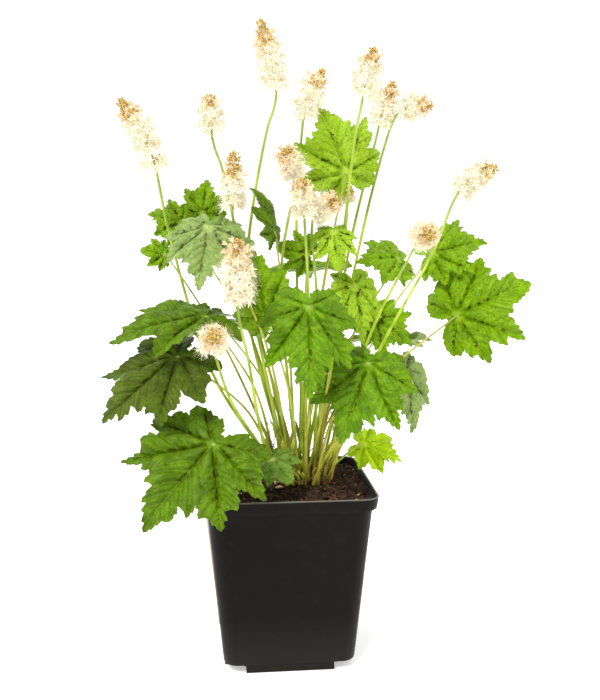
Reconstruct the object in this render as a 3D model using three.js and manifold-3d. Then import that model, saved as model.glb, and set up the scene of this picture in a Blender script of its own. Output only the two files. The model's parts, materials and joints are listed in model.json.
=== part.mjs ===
// A foamflower in a square nursery pot: pot, label, soil, leaves on stalks and flowering stems.
// Millimetres, +Z up. The origin is the middle of the pot's flat underside.

import * as THREE from "three";
import { mergeVertices } from "three/addons/utils/BufferGeometryUtils.js";
import Module from "manifold-3d";

const wasm = await Module();
wasm.setup();

// Pot: an 11 cm square pot with rounded corners. A half is half a side's width.
const POT_HEIGHT = 115;
const RIM_HALF = 55;
const RIM_LOWER_HALF = 54;
const RIM_HEIGHT = 8;
const BODY_TOP_HALF = 51.6;
const BODY_FOOT_HALF = 42;
const CORNER_RADIUS = 11;
const CORNER_STEPS = 4;
const WALL = 1.4;
const FOOT_HEIGHT = 5;
const FOOT_HALF = 41.4;
const FOOT_ARM_HALF = 28;
const FOOT_NOTCH = 5;
const DRAIN_RADIUS = 3.2;
const DRAIN_PLACE = 35.5;
const DRAIN_SIDES = 8;
const RIM_LEDGE = 0.5;
const CUT_PAST = 1;

// Soil: fills the pot to a little under the rim and heaps up round the crown.
const CLEARANCE = 0.3;
const SOIL_EDGE_Z = 110;
const HEAP_HEIGHT = 5;
const HEAP_SPREAD = 24;
const SOIL_RINGS = [1, 0.75, 0.5, 0.25];
const BROAD_LUMPS = { height: 0.9, alongX: 0.21, alongY: 0.27 };
const SMALL_LUMPS = { height: 0.5, alongX: 0.5, alongY: -0.4 };

// Crown: the stalks rise from four rings round its middle. Each ring is its radius and its places.
const CROWN = new THREE.Vector2(12, -4);
const CROWN_SQUASH = 0.8;
const CROWN_RINGS = [
  [0, 1],
  [8, 6],
  [16, 12],
  [25, 24],
];
const HOLE_DEPTH = 13;
const HOLE_GAP = 0.35;
const HOLE_SIDES = 4;

// Stalks and stems. A stalk sinks a little as it nears its blade and a stem rises a little into its head.
const STALK_SIDES = 4;
const STALK_STEPS = 5;
const STALK_FOOT_RADIUS = 1.25;
const STALK_TOP_RADIUS = 0.6;
const STALK_STRAIGHT = 4;
const LAST_STRAIGHT = 8;
const STALK_SAG = 1 / 3;
const STEM_LIFT = 0.5;
const ARCH_ACROSS = 0.3;
const ARCH_UP = 0.55;
const STEM_STEPS = 7;
const STEM_FOOT_RADIUS = 1.2;
const STEM_TOP_RADIUS = 0.85;

// Blade: a palmate leaf of seven lobes. An edge point is its angle from the midrib in degrees and
// its reach as a share of the main lobe. Only one half is listed, from the main tip to the base.
const BLADE_THICKNESS = 0.85;
const MAIN_TIP = [0, 1];
const MAIN_EDGE = [[6, 0.82], [12, 0.83], [15, 0.69], [22, 0.72]];
const SIDE_LOBES = [
  { vein: 43, edge: [[31, 0.71], [36, 0.69], [43, 0.83], [49, 0.68], [56, 0.69]] },
  { vein: 84, edge: [[71, 0.57], [84, 0.66], [91, 0.53], [99, 0.53]] },
  { vein: 126, edge: [[114, 0.47], [127, 0.51], [139, 0.41], [158, 0.27]] },
];
const CLEFTS = [[27, 0.56], [64, 0.46], [107, 0.4]];
const YOUNG_MAIN_EDGE = [[12, 0.82]];
const YOUNG_SIDE_LOBES = [
  { vein: 43, edge: [[43, 0.83]] },
  { vein: 84, edge: [[84, 0.66]] },
  { vein: 126, edge: [[130, 0.5]] },
];
const BASE_NOTCH = [180, 0.06];
const VEIN_REACH = 0.4;
const VEIN_SINK = 0.03;
const CLEFT_LIFT = 0.03;
const TIP_DROOP = 0.08;
const ANGLE_DRAW = 4;
const REACH_DRAW = 0.1;
const LEAF_SEED = 101;

// Flower heads: star florets stand out of a small core of close buds, with larger buds at the tip.
// The core is a list of [share of its length, radius].
const CORE = [[0, 0.85], [0.15, 2.2], [0.5, 3], [0.8, 2.3], [1, 0.5]];
const CORE_SIDES = 5;
const HEAD_STATIONS = 40;
const GOLDEN_ANGLE = 137.5;
const FIRST_FLORET = 0.06;
const LAST_BUD = 0.97;
const FLORET_RISE = 0.4;
const BUD_RISE = 1.2;
const HEAD_TAPER = 0.3;
const SIZE_DRAW = 0.2;
const TURN_DRAW = 30;
const HEAD_SEED = 501;
const PETALS = 5;
const PETAL_REACH = 5.6;
const PETAL_CLEFT = 2.3;
const SPREAD = 8.6;
const FLORET_HUB = 0.8;
const HUB_SIDES = 3;
const FLORET_CUP = 0.8;
const FLORET_DEPTH = 2;
const BUD_LENGTH = 6;
const BUD_RADIUS = 1.7;
const BUD_SIDES = 4;
const BUD_ROWS = 2;

// Label: a plain paper label on the pot's left face
const LABEL_WIDTH = 60;
const LABEL_HEIGHT = 76;
const LABEL_THICKNESS = 0.6;
const LABEL_MIDDLE_Z = 66;

// Each leaf: its place in the crown as [ring, place], the joint of stalk and blade, the tip of the
// main lobe, and the way that its upper face looks. wide, fold and droop shape the blade.
const LEAVES = [
  // Front and left
  {
    crown: [3, 16],
    by: [[-18, -26, 140]],
    joint: [-47, -56, 152],
    tip: [-88, -78, 107],
    face: [-0.2, -0.75, 0.6],
  },
  {
    crown: [3, 13],
    joint: [-68, -34, 202],
    tip: [-114, -52, 163],
    face: [-0.3, -0.75, 0.55],
    wide: 0.72,
    fold: 0.25,
  },
  {
    crown: [3, 12],
    joint: [-50, -22, 225],
    tip: [-109, -30, 211],
    face: [-0.1, -0.42, 0.9],
    wide: 0.75,
    fold: 0.15,
  },
  {
    crown: [3, 10],
    by: [[-38, 16, 200]],
    joint: [-76, 3, 262],
    tip: [-92, 1, 265],
    face: [0, -0.9, 0.4],
    young: true,
  },
  { crown: [3, 9], joint: [-66, 22, 282], tip: [-87, 25, 288], face: [0, -0.8, 0.6], wide: 1.2 },
  { crown: [3, 8], by: [[-14, 28, 205]], joint: [-52, 34, 288], tip: [-48, 38, 311], face: [0, -0.85, 0.5] },
  { crown: [2, 7], joint: [-48, -18, 280], tip: [-55, -36, 243], face: [-0.1, -0.85, 0.5], fold: 0.3 },
  {
    crown: [1, 3],
    joint: [-6, -4, 276],
    tip: [-22, -2, 303],
    face: [0.75, -0.4, 0.5],
    wide: 0.8,
    young: true,
  },
  { crown: [2, 8], joint: [-12, -14, 223], tip: [-22, -8, 269], face: [-0.3, -0.9, 0.2], wide: 0.7 },
  // Middle
  { crown: [3, 5], joint: [43, 24, 315], tip: [26, 32, 358], face: [0, -0.85, 0.5] },
  { crown: [0, 0], joint: [17, 16, 261], tip: [-5, 15, 267], face: [0, -1, 0.15], young: true },
  {
    crown: [1, 5],
    joint: [31, -7, 277],
    tip: [33, -18, 251],
    face: [0, -0.95, 0.3],
    wide: 0.8,
    fold: 0.3,
    young: true,
  },
  {
    crown: [3, 18],
    joint: [11, -44, 232],
    tip: [9, -66, 178],
    face: [0.05, -0.9, 0.4],
    wide: 0.78,
    fold: 0.25,
  },
  { crown: [2, 11], joint: [45, -2, 242], tip: [50, -12, 205], face: [0.3, -0.85, 0.4], wide: 0.75 },
  {
    crown: [3, 20],
    joint: [49, -35, 196],
    tip: [30, -54, 149],
    face: [-0.3, -0.9, 0.35],
    wide: 0.9,
    fold: 0.3,
  },
  {
    crown: [3, 17],
    joint: [-11, -36, 137],
    tip: [1, -46, 123],
    face: [0, -0.8, 0.6],
    wide: 1.1,
    young: true,
  },
  // Right
  { crown: [3, 23], joint: [82, 12, 184], tip: [86, 4, 142], face: [0.4, -0.8, 0.4], wide: 0.7 },
  { crown: [2, 1], joint: [80, 26, 258], tip: [48, 18, 255], face: [0, -0.7, 0.7] },
  { crown: [3, 0], joint: [100, 15, 262], tip: [136, 10, 270], face: [0, -0.8, 0.6] },
  { crown: [3, 22], joint: [112, -6, 222], tip: [160, -12, 244], face: [0, -0.85, 0.5] },
  { crown: [3, 1], joint: [60, 2, 220], tip: [84, 0, 202], face: [0.2, -0.95, 0.3] },
  { crown: [3, 2], joint: [57, 26, 130], tip: [84, 22, 119], face: [0, -0.6, 0.8], droop: 0.3 },
  // Back
  { crown: [3, 3], joint: [72, 52, 205], tip: [108, 78, 190], face: [0.3, 0.4, 0.85] },
  { crown: [3, 6], joint: [20, 50, 255], tip: [26, 95, 240], face: [0, 0.5, 0.85] },
  { crown: [3, 7], joint: [-42, 50, 215], tip: [-78, 82, 190], face: [-0.3, 0.4, 0.85] },
];

// Each flowering stem: its place in the crown, the points that it passes, the foot and tip of its
// head, how many florets and buds the head has, and how far the florets stand out where that is
// not the usual.
const RACEMES = [
  {
    crown: [2, 5],
    by: [[-24, 10, 232], [-10, 12, 341]],
    head: { foot: [-4, 10, 363], tip: [-14, 6, 407], florets: 12, buds: 5, spread: 9.4 },
  },
  {
    crown: [3, 11],
    by: [[-45, 11, 180], [-73, 12, 274]],
    head: { foot: [-82, 0, 322], tip: [-101, -6, 356], florets: 11, buds: 5, spread: 9.4 },
  },
  {
    crown: [2, 4],
    by: [[-21, 19, 231], [-39, 22, 318]],
    head: { foot: [-45, 22, 337], tip: [-46, 24, 363], florets: 8, buds: 3 },
  },
  {
    crown: [2, 6],
    by: [[-25, 0, 246]],
    head: { foot: [-33, -4, 287], tip: [-32, -8, 325], florets: 8, buds: 5 },
  },
  {
    crown: [3, 15],
    by: [[-13, -22, 138], [-26, -46, 203]],
    head: { foot: [-32, -58, 232], tip: [-32, -64, 272], florets: 16, buds: 4, spread: 10 },
  },
  {
    crown: [3, 14],
    by: [[-36, -42, 175]],
    head: { foot: [-46, -52, 208], tip: [-47, -74, 218], florets: 9, buds: 3 },
  },
  {
    crown: [2, 3],
    by: [[10, 24, 277]],
    head: { foot: [15, 30, 348], tip: [28, 34, 382], florets: 10, buds: 4, spread: 9.4 },
  },
  {
    crown: [1, 2],
    by: [[0, 8, 212], [-1, 7, 258]],
    head: { foot: [7, 8, 309], tip: [0, -8, 327], florets: 9, buds: 3 },
  },
  {
    crown: [1, 4],
    by: [[14, -12, 235]],
    head: { foot: [12, -10, 284], tip: [10, -14, 308], florets: 8, buds: 3 },
  },
  {
    crown: [2, 10],
    by: [[20, -9, 234]],
    head: { foot: [19, 4, 285], tip: [33, -8, 296], florets: 8, buds: 3 },
  },
  {
    crown: [1, 1],
    by: [[39, 28, 237]],
    head: { foot: [46, 36, 294], tip: [43, 36, 312], florets: 2, buds: 6, spread: 5 },
  },
  {
    crown: [1, 0],
    by: [[36, 8, 245], [46, -2, 343]],
    head: { foot: [49, -4, 358], tip: [56, -6, 389], florets: 9, buds: 4, spread: 9.4 },
  },
  {
    crown: [2, 2],
    by: [[49, 40, 269]],
    head: { foot: [68, 44, 345], tip: [78, 46, 376], florets: 9, buds: 4 },
  },
  {
    crown: [3, 4],
    by: [[62, 44, 294]],
    head: { foot: [80, 40, 355], tip: [102, 34, 360], florets: 8, buds: 4 },
  },
  {
    crown: [3, 21],
    by: [[54, -18, 214]],
    head: { foot: [80, -30, 271], tip: [82, -52, 274], florets: 10, buds: 3 },
  },
  {
    crown: [2, 0],
    by: [[64, -13, 209], [98, 0, 265]],
    head: { foot: [113, 6, 299], tip: [139, 6, 318], florets: 10, buds: 4 },
  },
];

// Seeded draws from 0 to 1, so that each build gives the same plant
const DRAW_FACTOR = 1664525;
const DRAW_STEP = 1013904223;
const DRAW_RANGE = 2 ** 32;

function seededDraws(seed) {
  let state = seed;
  return () => {
    state = (state * DRAW_FACTOR + DRAW_STEP) % DRAW_RANGE;
    return state / DRAW_RANGE;
  };
}

function closedGeometry(points, triangles) {
  const geometry = new THREE.BufferGeometry();
  const numbers = points.flatMap((point) => [point.x, point.y, point.z]);
  geometry.setAttribute("position", new THREE.Float32BufferAttribute(numbers, 3));
  geometry.setIndex(triangles.flat());
  return geometry;
}

function toSolid(geometry) {
  const bare = geometry.clone();
  bare.deleteAttribute("normal");
  bare.deleteAttribute("uv");
  const merged = mergeVertices(bare);
  return new wasm.Manifold(
    new wasm.Mesh({
      numProp: 3,
      vertProperties: new Float32Array(merged.attributes.position.array),
      triVerts: new Uint32Array(merged.index.array),
    }),
  );
}

function toGeometry(solid) {
  const mesh = solid.getMesh();
  const geometry = new THREE.BufferGeometry();
  geometry.setAttribute("position", new THREE.BufferAttribute(mesh.vertProperties, 3));
  geometry.setIndex(new THREE.BufferAttribute(mesh.triVerts, 1));
  geometry.computeVertexNormals();
  return geometry;
}

function fuse(solids) {
  return solids.reduce((whole, next) => whole.add(next));
}

// A closed solid through rings of points that run counter-clockwise seen from the last ring
function loft(rings) {
  const count = rings[0].length;
  const points = rings.flat();
  const triangles = [];
  for (let ring = 0; ring + 1 < rings.length; ring += 1) {
    for (let k = 0; k < count; k += 1) {
      const a = ring * count + k;
      const b = ring * count + ((k + 1) % count);
      triangles.push([a, b, b + count], [a, b + count, a + count]);
    }
  }
  const last = (rings.length - 1) * count;
  for (const [a, b, c] of capTriangles(rings[0])) {
    triangles.push([a, c, b], [last + a, last + b, last + c]);
  }
  return closedGeometry(points, triangles);
}

// Splits a ring's flat outline into triangles that run the way that the ring does
function capTriangles(ring) {
  const arms = ring.map((point) => point.clone().sub(ring[0]));
  const normal = new THREE.Vector3();
  for (let k = 1; k + 1 < arms.length; k += 1) {
    normal.add(arms[k].clone().cross(arms[k + 1]));
  }
  normal.normalize();
  const across = arms[1].clone().normalize();
  const aside = normal.clone().cross(across);
  const outline = ring.map((point) => new THREE.Vector2(point.dot(across), point.dot(aside)));
  return THREE.ShapeUtils.triangulateShape(outline, []);
}

function roundedSquare(half, radius, z) {
  const ring = [];
  for (let corner = 0; corner < 4; corner += 1) {
    const middle = (corner + 0.5) * (Math.PI / 2);
    const centreX = Math.sign(Math.cos(middle)) * (half - radius);
    const centreY = Math.sign(Math.sin(middle)) * (half - radius);
    for (let step = 0; step <= CORNER_STEPS; step += 1) {
      const angle = (corner + step / CORNER_STEPS) * (Math.PI / 2);
      ring.push(new THREE.Vector3(centreX + radius * Math.cos(angle), centreY + radius * Math.sin(angle), z));
    }
  }
  return ring;
}

// The foot's outline: a cross with broad arms, whose inner corners are cut off
function crossOutline(half, arm, notch, z) {
  const ring = [];
  for (let corner = 0; corner < 4; corner += 1) {
    const turn = corner * (Math.PI / 2);
    const quarter = [[half, arm], [arm + notch, arm], [arm, arm + notch], [arm, half]];
    for (const [x, y] of quarter) {
      ring.push(new THREE.Vector3(x, y, z).applyAxisAngle(new THREE.Vector3(0, 0, 1), turn));
    }
  }
  return ring;
}

function potBodyHalf(z) {
  const share = (z - FOOT_HEIGHT) / (POT_HEIGHT - RIM_HEIGHT - FOOT_HEIGHT);
  return BODY_FOOT_HALF + (BODY_TOP_HALF - BODY_FOOT_HALF) * share;
}

// The pot's inside as rings, drawn in from the wall by a gap and closed at a given height
function insideRings(gap, topZ) {
  const floorZ = FOOT_HEIGHT + WALL + gap;
  const stepZ = POT_HEIGHT - RIM_HEIGHT - WALL;
  const rimZ = POT_HEIGHT - RIM_HEIGHT + WALL;
  const inner = WALL + gap;
  const rimSlope = (RIM_HALF - RIM_LOWER_HALF) / RIM_HEIGHT;
  const topHalf = RIM_LOWER_HALF + rimSlope * (topZ - POT_HEIGHT + RIM_HEIGHT);
  return [
    roundedSquare(potBodyHalf(floorZ) - inner, CORNER_RADIUS - inner, floorZ),
    roundedSquare(potBodyHalf(stepZ) - inner, CORNER_RADIUS - inner, stepZ),
    roundedSquare(RIM_LOWER_HALF - inner, CORNER_RADIUS - inner, rimZ),
    roundedSquare(topHalf - inner, CORNER_RADIUS - inner, topZ),
  ];
}

function potGeometry() {
  const rimFoot = POT_HEIGHT - RIM_HEIGHT;
  const body = toSolid(
    loft([
      roundedSquare(BODY_FOOT_HALF, CORNER_RADIUS, FOOT_HEIGHT),
      roundedSquare(BODY_TOP_HALF, CORNER_RADIUS, rimFoot - RIM_LEDGE),
      roundedSquare(RIM_LOWER_HALF, CORNER_RADIUS, rimFoot),
      roundedSquare(RIM_HALF, CORNER_RADIUS, POT_HEIGHT),
    ]),
  );
  const footTop = FOOT_HEIGHT + WALL / 2;
  const foot = toSolid(
    loft([
      crossOutline(FOOT_HALF, FOOT_ARM_HALF, FOOT_NOTCH, 0),
      crossOutline(FOOT_HALF, FOOT_ARM_HALF, FOOT_NOTCH, footTop),
    ]),
  );
  const footHollow = toSolid(
    loft([
      crossOutline(FOOT_HALF - WALL, FOOT_ARM_HALF - WALL, FOOT_NOTCH, WALL),
      crossOutline(FOOT_HALF - WALL, FOOT_ARM_HALF - WALL, FOOT_NOTCH, FOOT_HEIGHT + 2 * WALL),
    ]),
  );
  const hollow = toSolid(loft(insideRings(0, POT_HEIGHT + CUT_PAST)));
  let pot = body.add(foot).subtract(hollow).subtract(footHollow);
  for (const sideX of [-1, 1]) {
    for (const sideY of [-1, 1]) {
      pot = pot.subtract(drainHole(sideX * DRAIN_PLACE, sideY * DRAIN_PLACE));
    }
  }
  return toGeometry(pot);
}

function drainHole(x, y) {
  const height = 4 * WALL;
  const hole = new THREE.CylinderGeometry(DRAIN_RADIUS, DRAIN_RADIUS, height, DRAIN_SIDES);
  hole.rotateX(Math.PI / 2);
  hole.translate(x, y, FOOT_HEIGHT + WALL / 2);
  return toSolid(hole);
}

// The height of the soil's surface: a low heap round the crown and small lumps
function soilHeight(x, y) {
  const away = Math.hypot(x - CROWN.x, y - CROWN.y);
  const heap = HEAP_HEIGHT * Math.exp(-(away ** 2) / (2 * HEAP_SPREAD ** 2));
  const broad = Math.sin(BROAD_LUMPS.alongX * x + 1) * Math.sin(BROAD_LUMPS.alongY * y + 2);
  const small = Math.sin(SMALL_LUMPS.alongX * x + SMALL_LUMPS.alongY * y);
  return SOIL_EDGE_Z + heap + BROAD_LUMPS.height * broad + SMALL_LUMPS.height * small;
}

function soilGeometry(holes) {
  const [floor, step, shoulder, brim] = insideRings(CLEARANCE, SOIL_EDGE_Z);
  const surface = SOIL_RINGS.map((share) =>
    brim.map((point) => {
      const x = point.x * share;
      const y = point.y * share;
      return new THREE.Vector3(x, y, soilHeight(x, y));
    }),
  );
  const filling = toSolid(loft([floor, step, shoulder, ...surface]));
  const inset = WALL + CLEARANCE;
  const footPart = toSolid(
    loft([
      crossOutline(FOOT_HALF - inset, FOOT_ARM_HALF - inset, FOOT_NOTCH, inset),
      crossOutline(FOOT_HALF - inset, FOOT_ARM_HALF - inset, FOOT_NOTCH, FOOT_HEIGHT + 2 * WALL),
    ]),
  );
  return toGeometry(holes.reduce((soil, hole) => soil.subtract(hole), filling.add(footPart)));
}

function crownPlace([ring, place]) {
  const [radius, places] = CROWN_RINGS[ring];
  const angle = (2 * Math.PI * place) / places;
  const x = CROWN.x + radius * Math.cos(angle);
  const y = CROWN.y + radius * CROWN_SQUASH * Math.sin(angle);
  return new THREE.Vector3(x, y, soilHeight(x, y));
}

function holeFor(crown, radius) {
  const mouth = crownPlace(crown);
  const foot = mouth.z - HOLE_DEPTH;
  const top = mouth.z + HOLE_DEPTH;
  const circle = (z) =>
    Array.from({ length: HOLE_SIDES }, (_, k) => {
      const angle = (2 * Math.PI * k) / HOLE_SIDES;
      const reach = (radius + HOLE_GAP) / Math.cos(Math.PI / HOLE_SIDES);
      return new THREE.Vector3(mouth.x + reach * Math.cos(angle), mouth.y + reach * Math.sin(angle), z);
    });
  return toSolid(loft([circle(foot), circle(top)]));
}

// A rod along a curve. Its profile is a list of [share of the curve's length, radius].
function rod(curve, profile, sides) {
  const normal = new THREE.Vector3(1, 0, 0);
  const rings = profile.map(([share, radius]) => {
    const centre = curve.getPointAt(share);
    const tangent = curve.getTangentAt(share);
    normal.addScaledVector(tangent, -normal.dot(tangent)).normalize();
    const binormal = tangent.clone().cross(normal);
    return Array.from({ length: sides }, (_, side) => {
      const angle = (2 * Math.PI * side) / sides;
      return centre
        .clone()
        .addScaledVector(normal, radius * Math.cos(angle))
        .addScaledVector(binormal, radius * Math.sin(angle));
    });
  });
  return loft(rings);
}

// One straight step out of the hole, then even steps, with an even taper
function stalkProfile(curve, steps, footRadius, topRadius) {
  const first = (HOLE_DEPTH + STALK_STRAIGHT) / curve.getLength();
  const profile = [[0, footRadius]];
  for (let k = 0; k < steps; k += 1) {
    const share = THREE.MathUtils.lerp(first, 1, k / (steps - 1));
    profile.push([share, THREE.MathUtils.lerp(footRadius, topRadius, share)]);
  }
  return profile;
}

function vector([x, y, z]) {
  return new THREE.Vector3(x, y, z);
}

// Straight up out of the soil, by the given points, and in at the end along the given way
function stalkCurve(crown, by, end, way) {
  const mouth = crownPlace(crown);
  const up = new THREE.Vector3(0, 0, 1);
  const foot = mouth.clone().addScaledVector(up, CLEARANCE - HOLE_DEPTH);
  const out = mouth.clone().addScaledVector(up, STALK_STRAIGHT);
  const near = end.clone().addScaledVector(way, -LAST_STRAIGHT);
  return new THREE.CatmullRomCurve3([foot, mouth, out, ...by.map(vector), near, end], false, "centripetal");
}

// The blade's lobes from its left base round to its right base, and the clefts between them
function bladeOutline(young) {
  const mainEdge = young ? YOUNG_MAIN_EDGE : MAIN_EDGE;
  const sideLobes = young ? YOUNG_SIDE_LOBES : SIDE_LOBES;
  const mirror = (points) => points.map(([angle, reach]) => [-angle, reach]).reverse();
  const left = sideLobes.map(({ vein, edge }) => ({ vein: -vein, edge: mirror(edge) })).reverse();
  const main = { vein: 0, edge: [...mirror(mainEdge), MAIN_TIP, ...mainEdge] };
  return { lobes: [...left, main, ...sideLobes], clefts: [...mirror(CLEFTS), ...CLEFTS] };
}

// The blade laid flat: [along the midrib, across it, above it] for each point, the joint first, with
// the edge in order and the triangles of one face
function flatBlade({ wide = 1, fold = 0.1, young = false }, draw) {
  const { lobes, clefts } = bladeOutline(young);
  const points = [[0, 0, 0]];
  const addPoint = ([angle, reach], lift) => {
    const turned = THREE.MathUtils.degToRad(angle + ANGLE_DRAW * (draw() - 0.5));
    const grown = reach * (1 + REACH_DRAW * (draw() - 0.5));
    const along = grown * Math.cos(turned);
    const across = grown * Math.sin(turned) * wide;
    return points.push([along, across, lift - fold * Math.abs(across) - TIP_DROOP * grown ** 2]) - 1;
  };
  const notch = addPoint(BASE_NOTCH, 0);
  const gaps = [notch, ...clefts.map((cleft) => addPoint(cleft, CLEFT_LIFT)), notch];
  const edge = [];
  const faces = [];
  lobes.forEach((lobe, k) => {
    const vein = addPoint([lobe.vein, VEIN_REACH], -VEIN_SINK);
    const rim = lobe.edge.map((point) => addPoint(point, 0));
    const fan = [gaps[k], ...rim, gaps[k + 1]];
    edge.push(gaps[k], ...rim);
    faces.push([0, gaps[k], vein], [0, vein, gaps[k + 1]]);
    for (let j = 0; j + 1 < fan.length; j += 1) {
      faces.push([vein, fan[j], fan[j + 1]]);
    }
  });
  return { points, edge, faces };
}

// Bends a flat blade's point down along the midrib
function bentPoint([along, across, above], droop) {
  const turn = droop * along;
  const x = Math.sin(turn) / droop + above * Math.sin(turn);
  const z = -(1 - Math.cos(turn)) / droop + above * Math.cos(turn);
  return new THREE.Vector3(x, across, z);
}

// Puts a blade's points between its joint and its tip, with its upper face the given way
function placedPoints(leaf, points) {
  const { joint, tip, face, droop = 0.5 } = leaf;
  const bent = points.map((point) => bentPoint(point, droop));
  const chord = bentPoint([1, 0, -TIP_DROOP], droop);
  const lean = Math.atan2(chord.z, chord.x);
  const span = vector(tip).sub(vector(joint));
  const scale = span.length() / chord.length();
  const ahead = span.clone().normalize();
  const up = vector(face).addScaledVector(ahead, -vector(face).dot(ahead)).normalize();
  const aside = up.clone().cross(ahead);
  return bent.map((point) => {
    const along = point.x * Math.cos(lean) + point.z * Math.sin(lean);
    const above = point.z * Math.cos(lean) - point.x * Math.sin(lean);
    return vector(joint)
      .addScaledVector(ahead, scale * along)
      .addScaledVector(aside, scale * point.y)
      .addScaledVector(up, scale * above);
  });
}

// A thin closed blade whose two faces have the same triangles
function bladeGeometry(leaf, draw) {
  const { points, edge, faces } = flatBlade(leaf, draw);
  const middle = placedPoints(leaf, points);
  const normals = middle.map(() => new THREE.Vector3());
  for (const [a, b, c] of faces) {
    const side = middle[b].clone().sub(middle[a]);
    const normal = side.cross(middle[c].clone().sub(middle[a]));
    for (const corner of [a, b, c]) {
      normals[corner].add(normal);
    }
  }
  normals.forEach((normal) => normal.normalize());
  const offset = (point, k, way) => point.clone().addScaledVector(normals[k], (way * BLADE_THICKNESS) / 2);
  const upper = middle.map((point, k) => offset(point, k, 1));
  const lower = middle.map((point, k) => offset(point, k, -1));
  const count = middle.length;
  const triangles = [...faces, ...faces.map(([a, b, c]) => [a + count, c + count, b + count])];
  edge.forEach((a, k) => {
    const b = edge[(k + 1) % edge.length];
    triangles.push([a + count, b + count, b], [a + count, b, a]);
  });
  return closedGeometry([...upper, ...lower], triangles);
}

function leafGeometry(leaf, draw) {
  const mouth = crownPlace(leaf.crown);
  const joint = vector(leaf.joint);
  const span = joint.clone().sub(mouth);
  const way = span.clone().normalize().sub(new THREE.Vector3(0, 0, STALK_SAG)).normalize();
  const arch = new THREE.Vector3(span.x * ARCH_ACROSS, span.y * ARCH_ACROSS, span.z * ARCH_UP);
  const by = leaf.by ?? [arch.add(mouth).toArray()];
  const curve = stalkCurve(leaf.crown, by, joint, way);
  const profile = stalkProfile(curve, STALK_STEPS, STALK_FOOT_RADIUS, STALK_TOP_RADIUS);
  const stalk = rod(curve, profile, STALK_SIDES);
  return toGeometry(toSolid(stalk).add(toSolid(bladeGeometry(leaf, draw))));
}

// The head's axis starts in line with its stem and curves over to its tip
function headCurve({ foot, tip }) {
  const start = vector(foot);
  const span = vector(tip).sub(start);
  const way = span.clone().normalize().add(new THREE.Vector3(0, 0, STEM_LIFT)).normalize();
  const control = start.clone().addScaledVector(way, span.length() / 2);
  const lifted = start.clone().addScaledVector(way, CLEARANCE);
  return { way, curve: new THREE.QuadraticBezierCurve3(lifted, control, vector(tip)) };
}

// A five-petalled star on a three-sided stalk, from the axis at the origin out along +Z
function floretGeometry(stalk, size) {
  const rimCount = 2 * PETALS;
  const points = [new THREE.Vector3(0, 0, 0)];
  for (let k = 0; k < HUB_SIDES; k += 1) {
    const angle = (2 * Math.PI * k) / HUB_SIDES;
    const reach = FLORET_HUB * size;
    const height = stalk - FLORET_DEPTH * size;
    points.push(new THREE.Vector3(reach * Math.cos(angle), reach * Math.sin(angle), height));
  }
  for (let k = 0; k < rimCount; k += 1) {
    const angle = (2 * Math.PI * k) / rimCount;
    const reach = (k % 2 === 0 ? PETAL_REACH : PETAL_CLEFT) * size;
    points.push(new THREE.Vector3(reach * Math.cos(angle), reach * Math.sin(angle), stalk));
  }
  const cup = points.push(new THREE.Vector3(0, 0, stalk - FLORET_CUP * size)) - 1;
  const rim = (k) => 1 + HUB_SIDES + (k % rimCount);
  const nearestHub = (k) => 1 + (Math.round((k * HUB_SIDES) / rimCount) % HUB_SIDES);
  const triangles = [];
  for (let k = 0; k < rimCount; k += 1) {
    const hub = nearestHub(k);
    const nextHub = nearestHub(k + 1);
    triangles.push([cup, rim(k), rim(k + 1)], [hub, rim(k + 1), rim(k)]);
    if (nextHub !== hub) {
      triangles.push([hub, nextHub, rim(k + 1)]);
    }
  }
  triangles.push([0, 2, 1], [0, 3, 2], [0, 1, 3]);
  return closedGeometry(points, triangles);
}

function budGeometry(size) {
  const length = BUD_LENGTH * size;
  const bud = new THREE.SphereGeometry(1, BUD_SIDES, BUD_ROWS);
  bud.rotateX(Math.PI / 2);
  bud.scale(BUD_RADIUS * size, BUD_RADIUS * size, length / 2);
  bud.translate(0, 0, length / 2);
  return bud;
}

// Stands a piece that was made along +Z on the axis, pointing the given way
function standing(geometry, place, way) {
  const turn = new THREE.Quaternion().setFromUnitVectors(new THREE.Vector3(0, 0, 1), way);
  geometry.applyQuaternion(turn);
  geometry.translate(place.x, place.y, place.z);
  return toSolid(geometry);
}

function headGeometry(head, draw) {
  const { florets, buds, spread = SPREAD } = head;
  const { curve } = headCurve(head);
  const frames = curve.computeFrenetFrames(HEAD_STATIONS, false);
  const solids = [toSolid(rod(curve, CORE, CORE_SIDES))];
  for (let k = 0; k < florets + buds; k += 1) {
    const isBud = k >= florets;
    const share = FIRST_FLORET + (LAST_BUD - FIRST_FLORET) * (k / (florets + buds - 1));
    const station = Math.round(share * HEAD_STATIONS);
    const angle = THREE.MathUtils.degToRad(GOLDEN_ANGLE * k + TURN_DRAW * (draw() - 0.5));
    const lift = isBud ? BUD_RISE : FLORET_RISE;
    const way = new THREE.Vector3()
      .addScaledVector(frames.normals[station], Math.cos(angle))
      .addScaledVector(frames.binormals[station], Math.sin(angle))
      .addScaledVector(frames.tangents[station], lift)
      .normalize();
    const size = (1 - HEAD_TAPER * share) * (1 + SIZE_DRAW * (draw() - 0.5));
    const piece = isBud ? budGeometry(size) : floretGeometry(spread * size, size);
    solids.push(standing(piece, curve.getPointAt(share), way));
  }
  return toGeometry(fuse(solids));
}

function stemGeometry(raceme) {
  const { way } = headCurve(raceme.head);
  const curve = stalkCurve(raceme.crown, raceme.by, vector(raceme.head.foot), way);
  return rod(curve, stalkProfile(curve, STEM_STEPS, STEM_FOOT_RADIUS, STEM_TOP_RADIUS), STALK_SIDES);
}

function labelGeometry() {
  return new THREE.BoxGeometry(LABEL_THICKNESS, LABEL_WIDTH, LABEL_HEIGHT);
}

function finish(color, roughness) {
  return new THREE.MeshStandardMaterial({ color, roughness, metalness: 0 });
}

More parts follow.
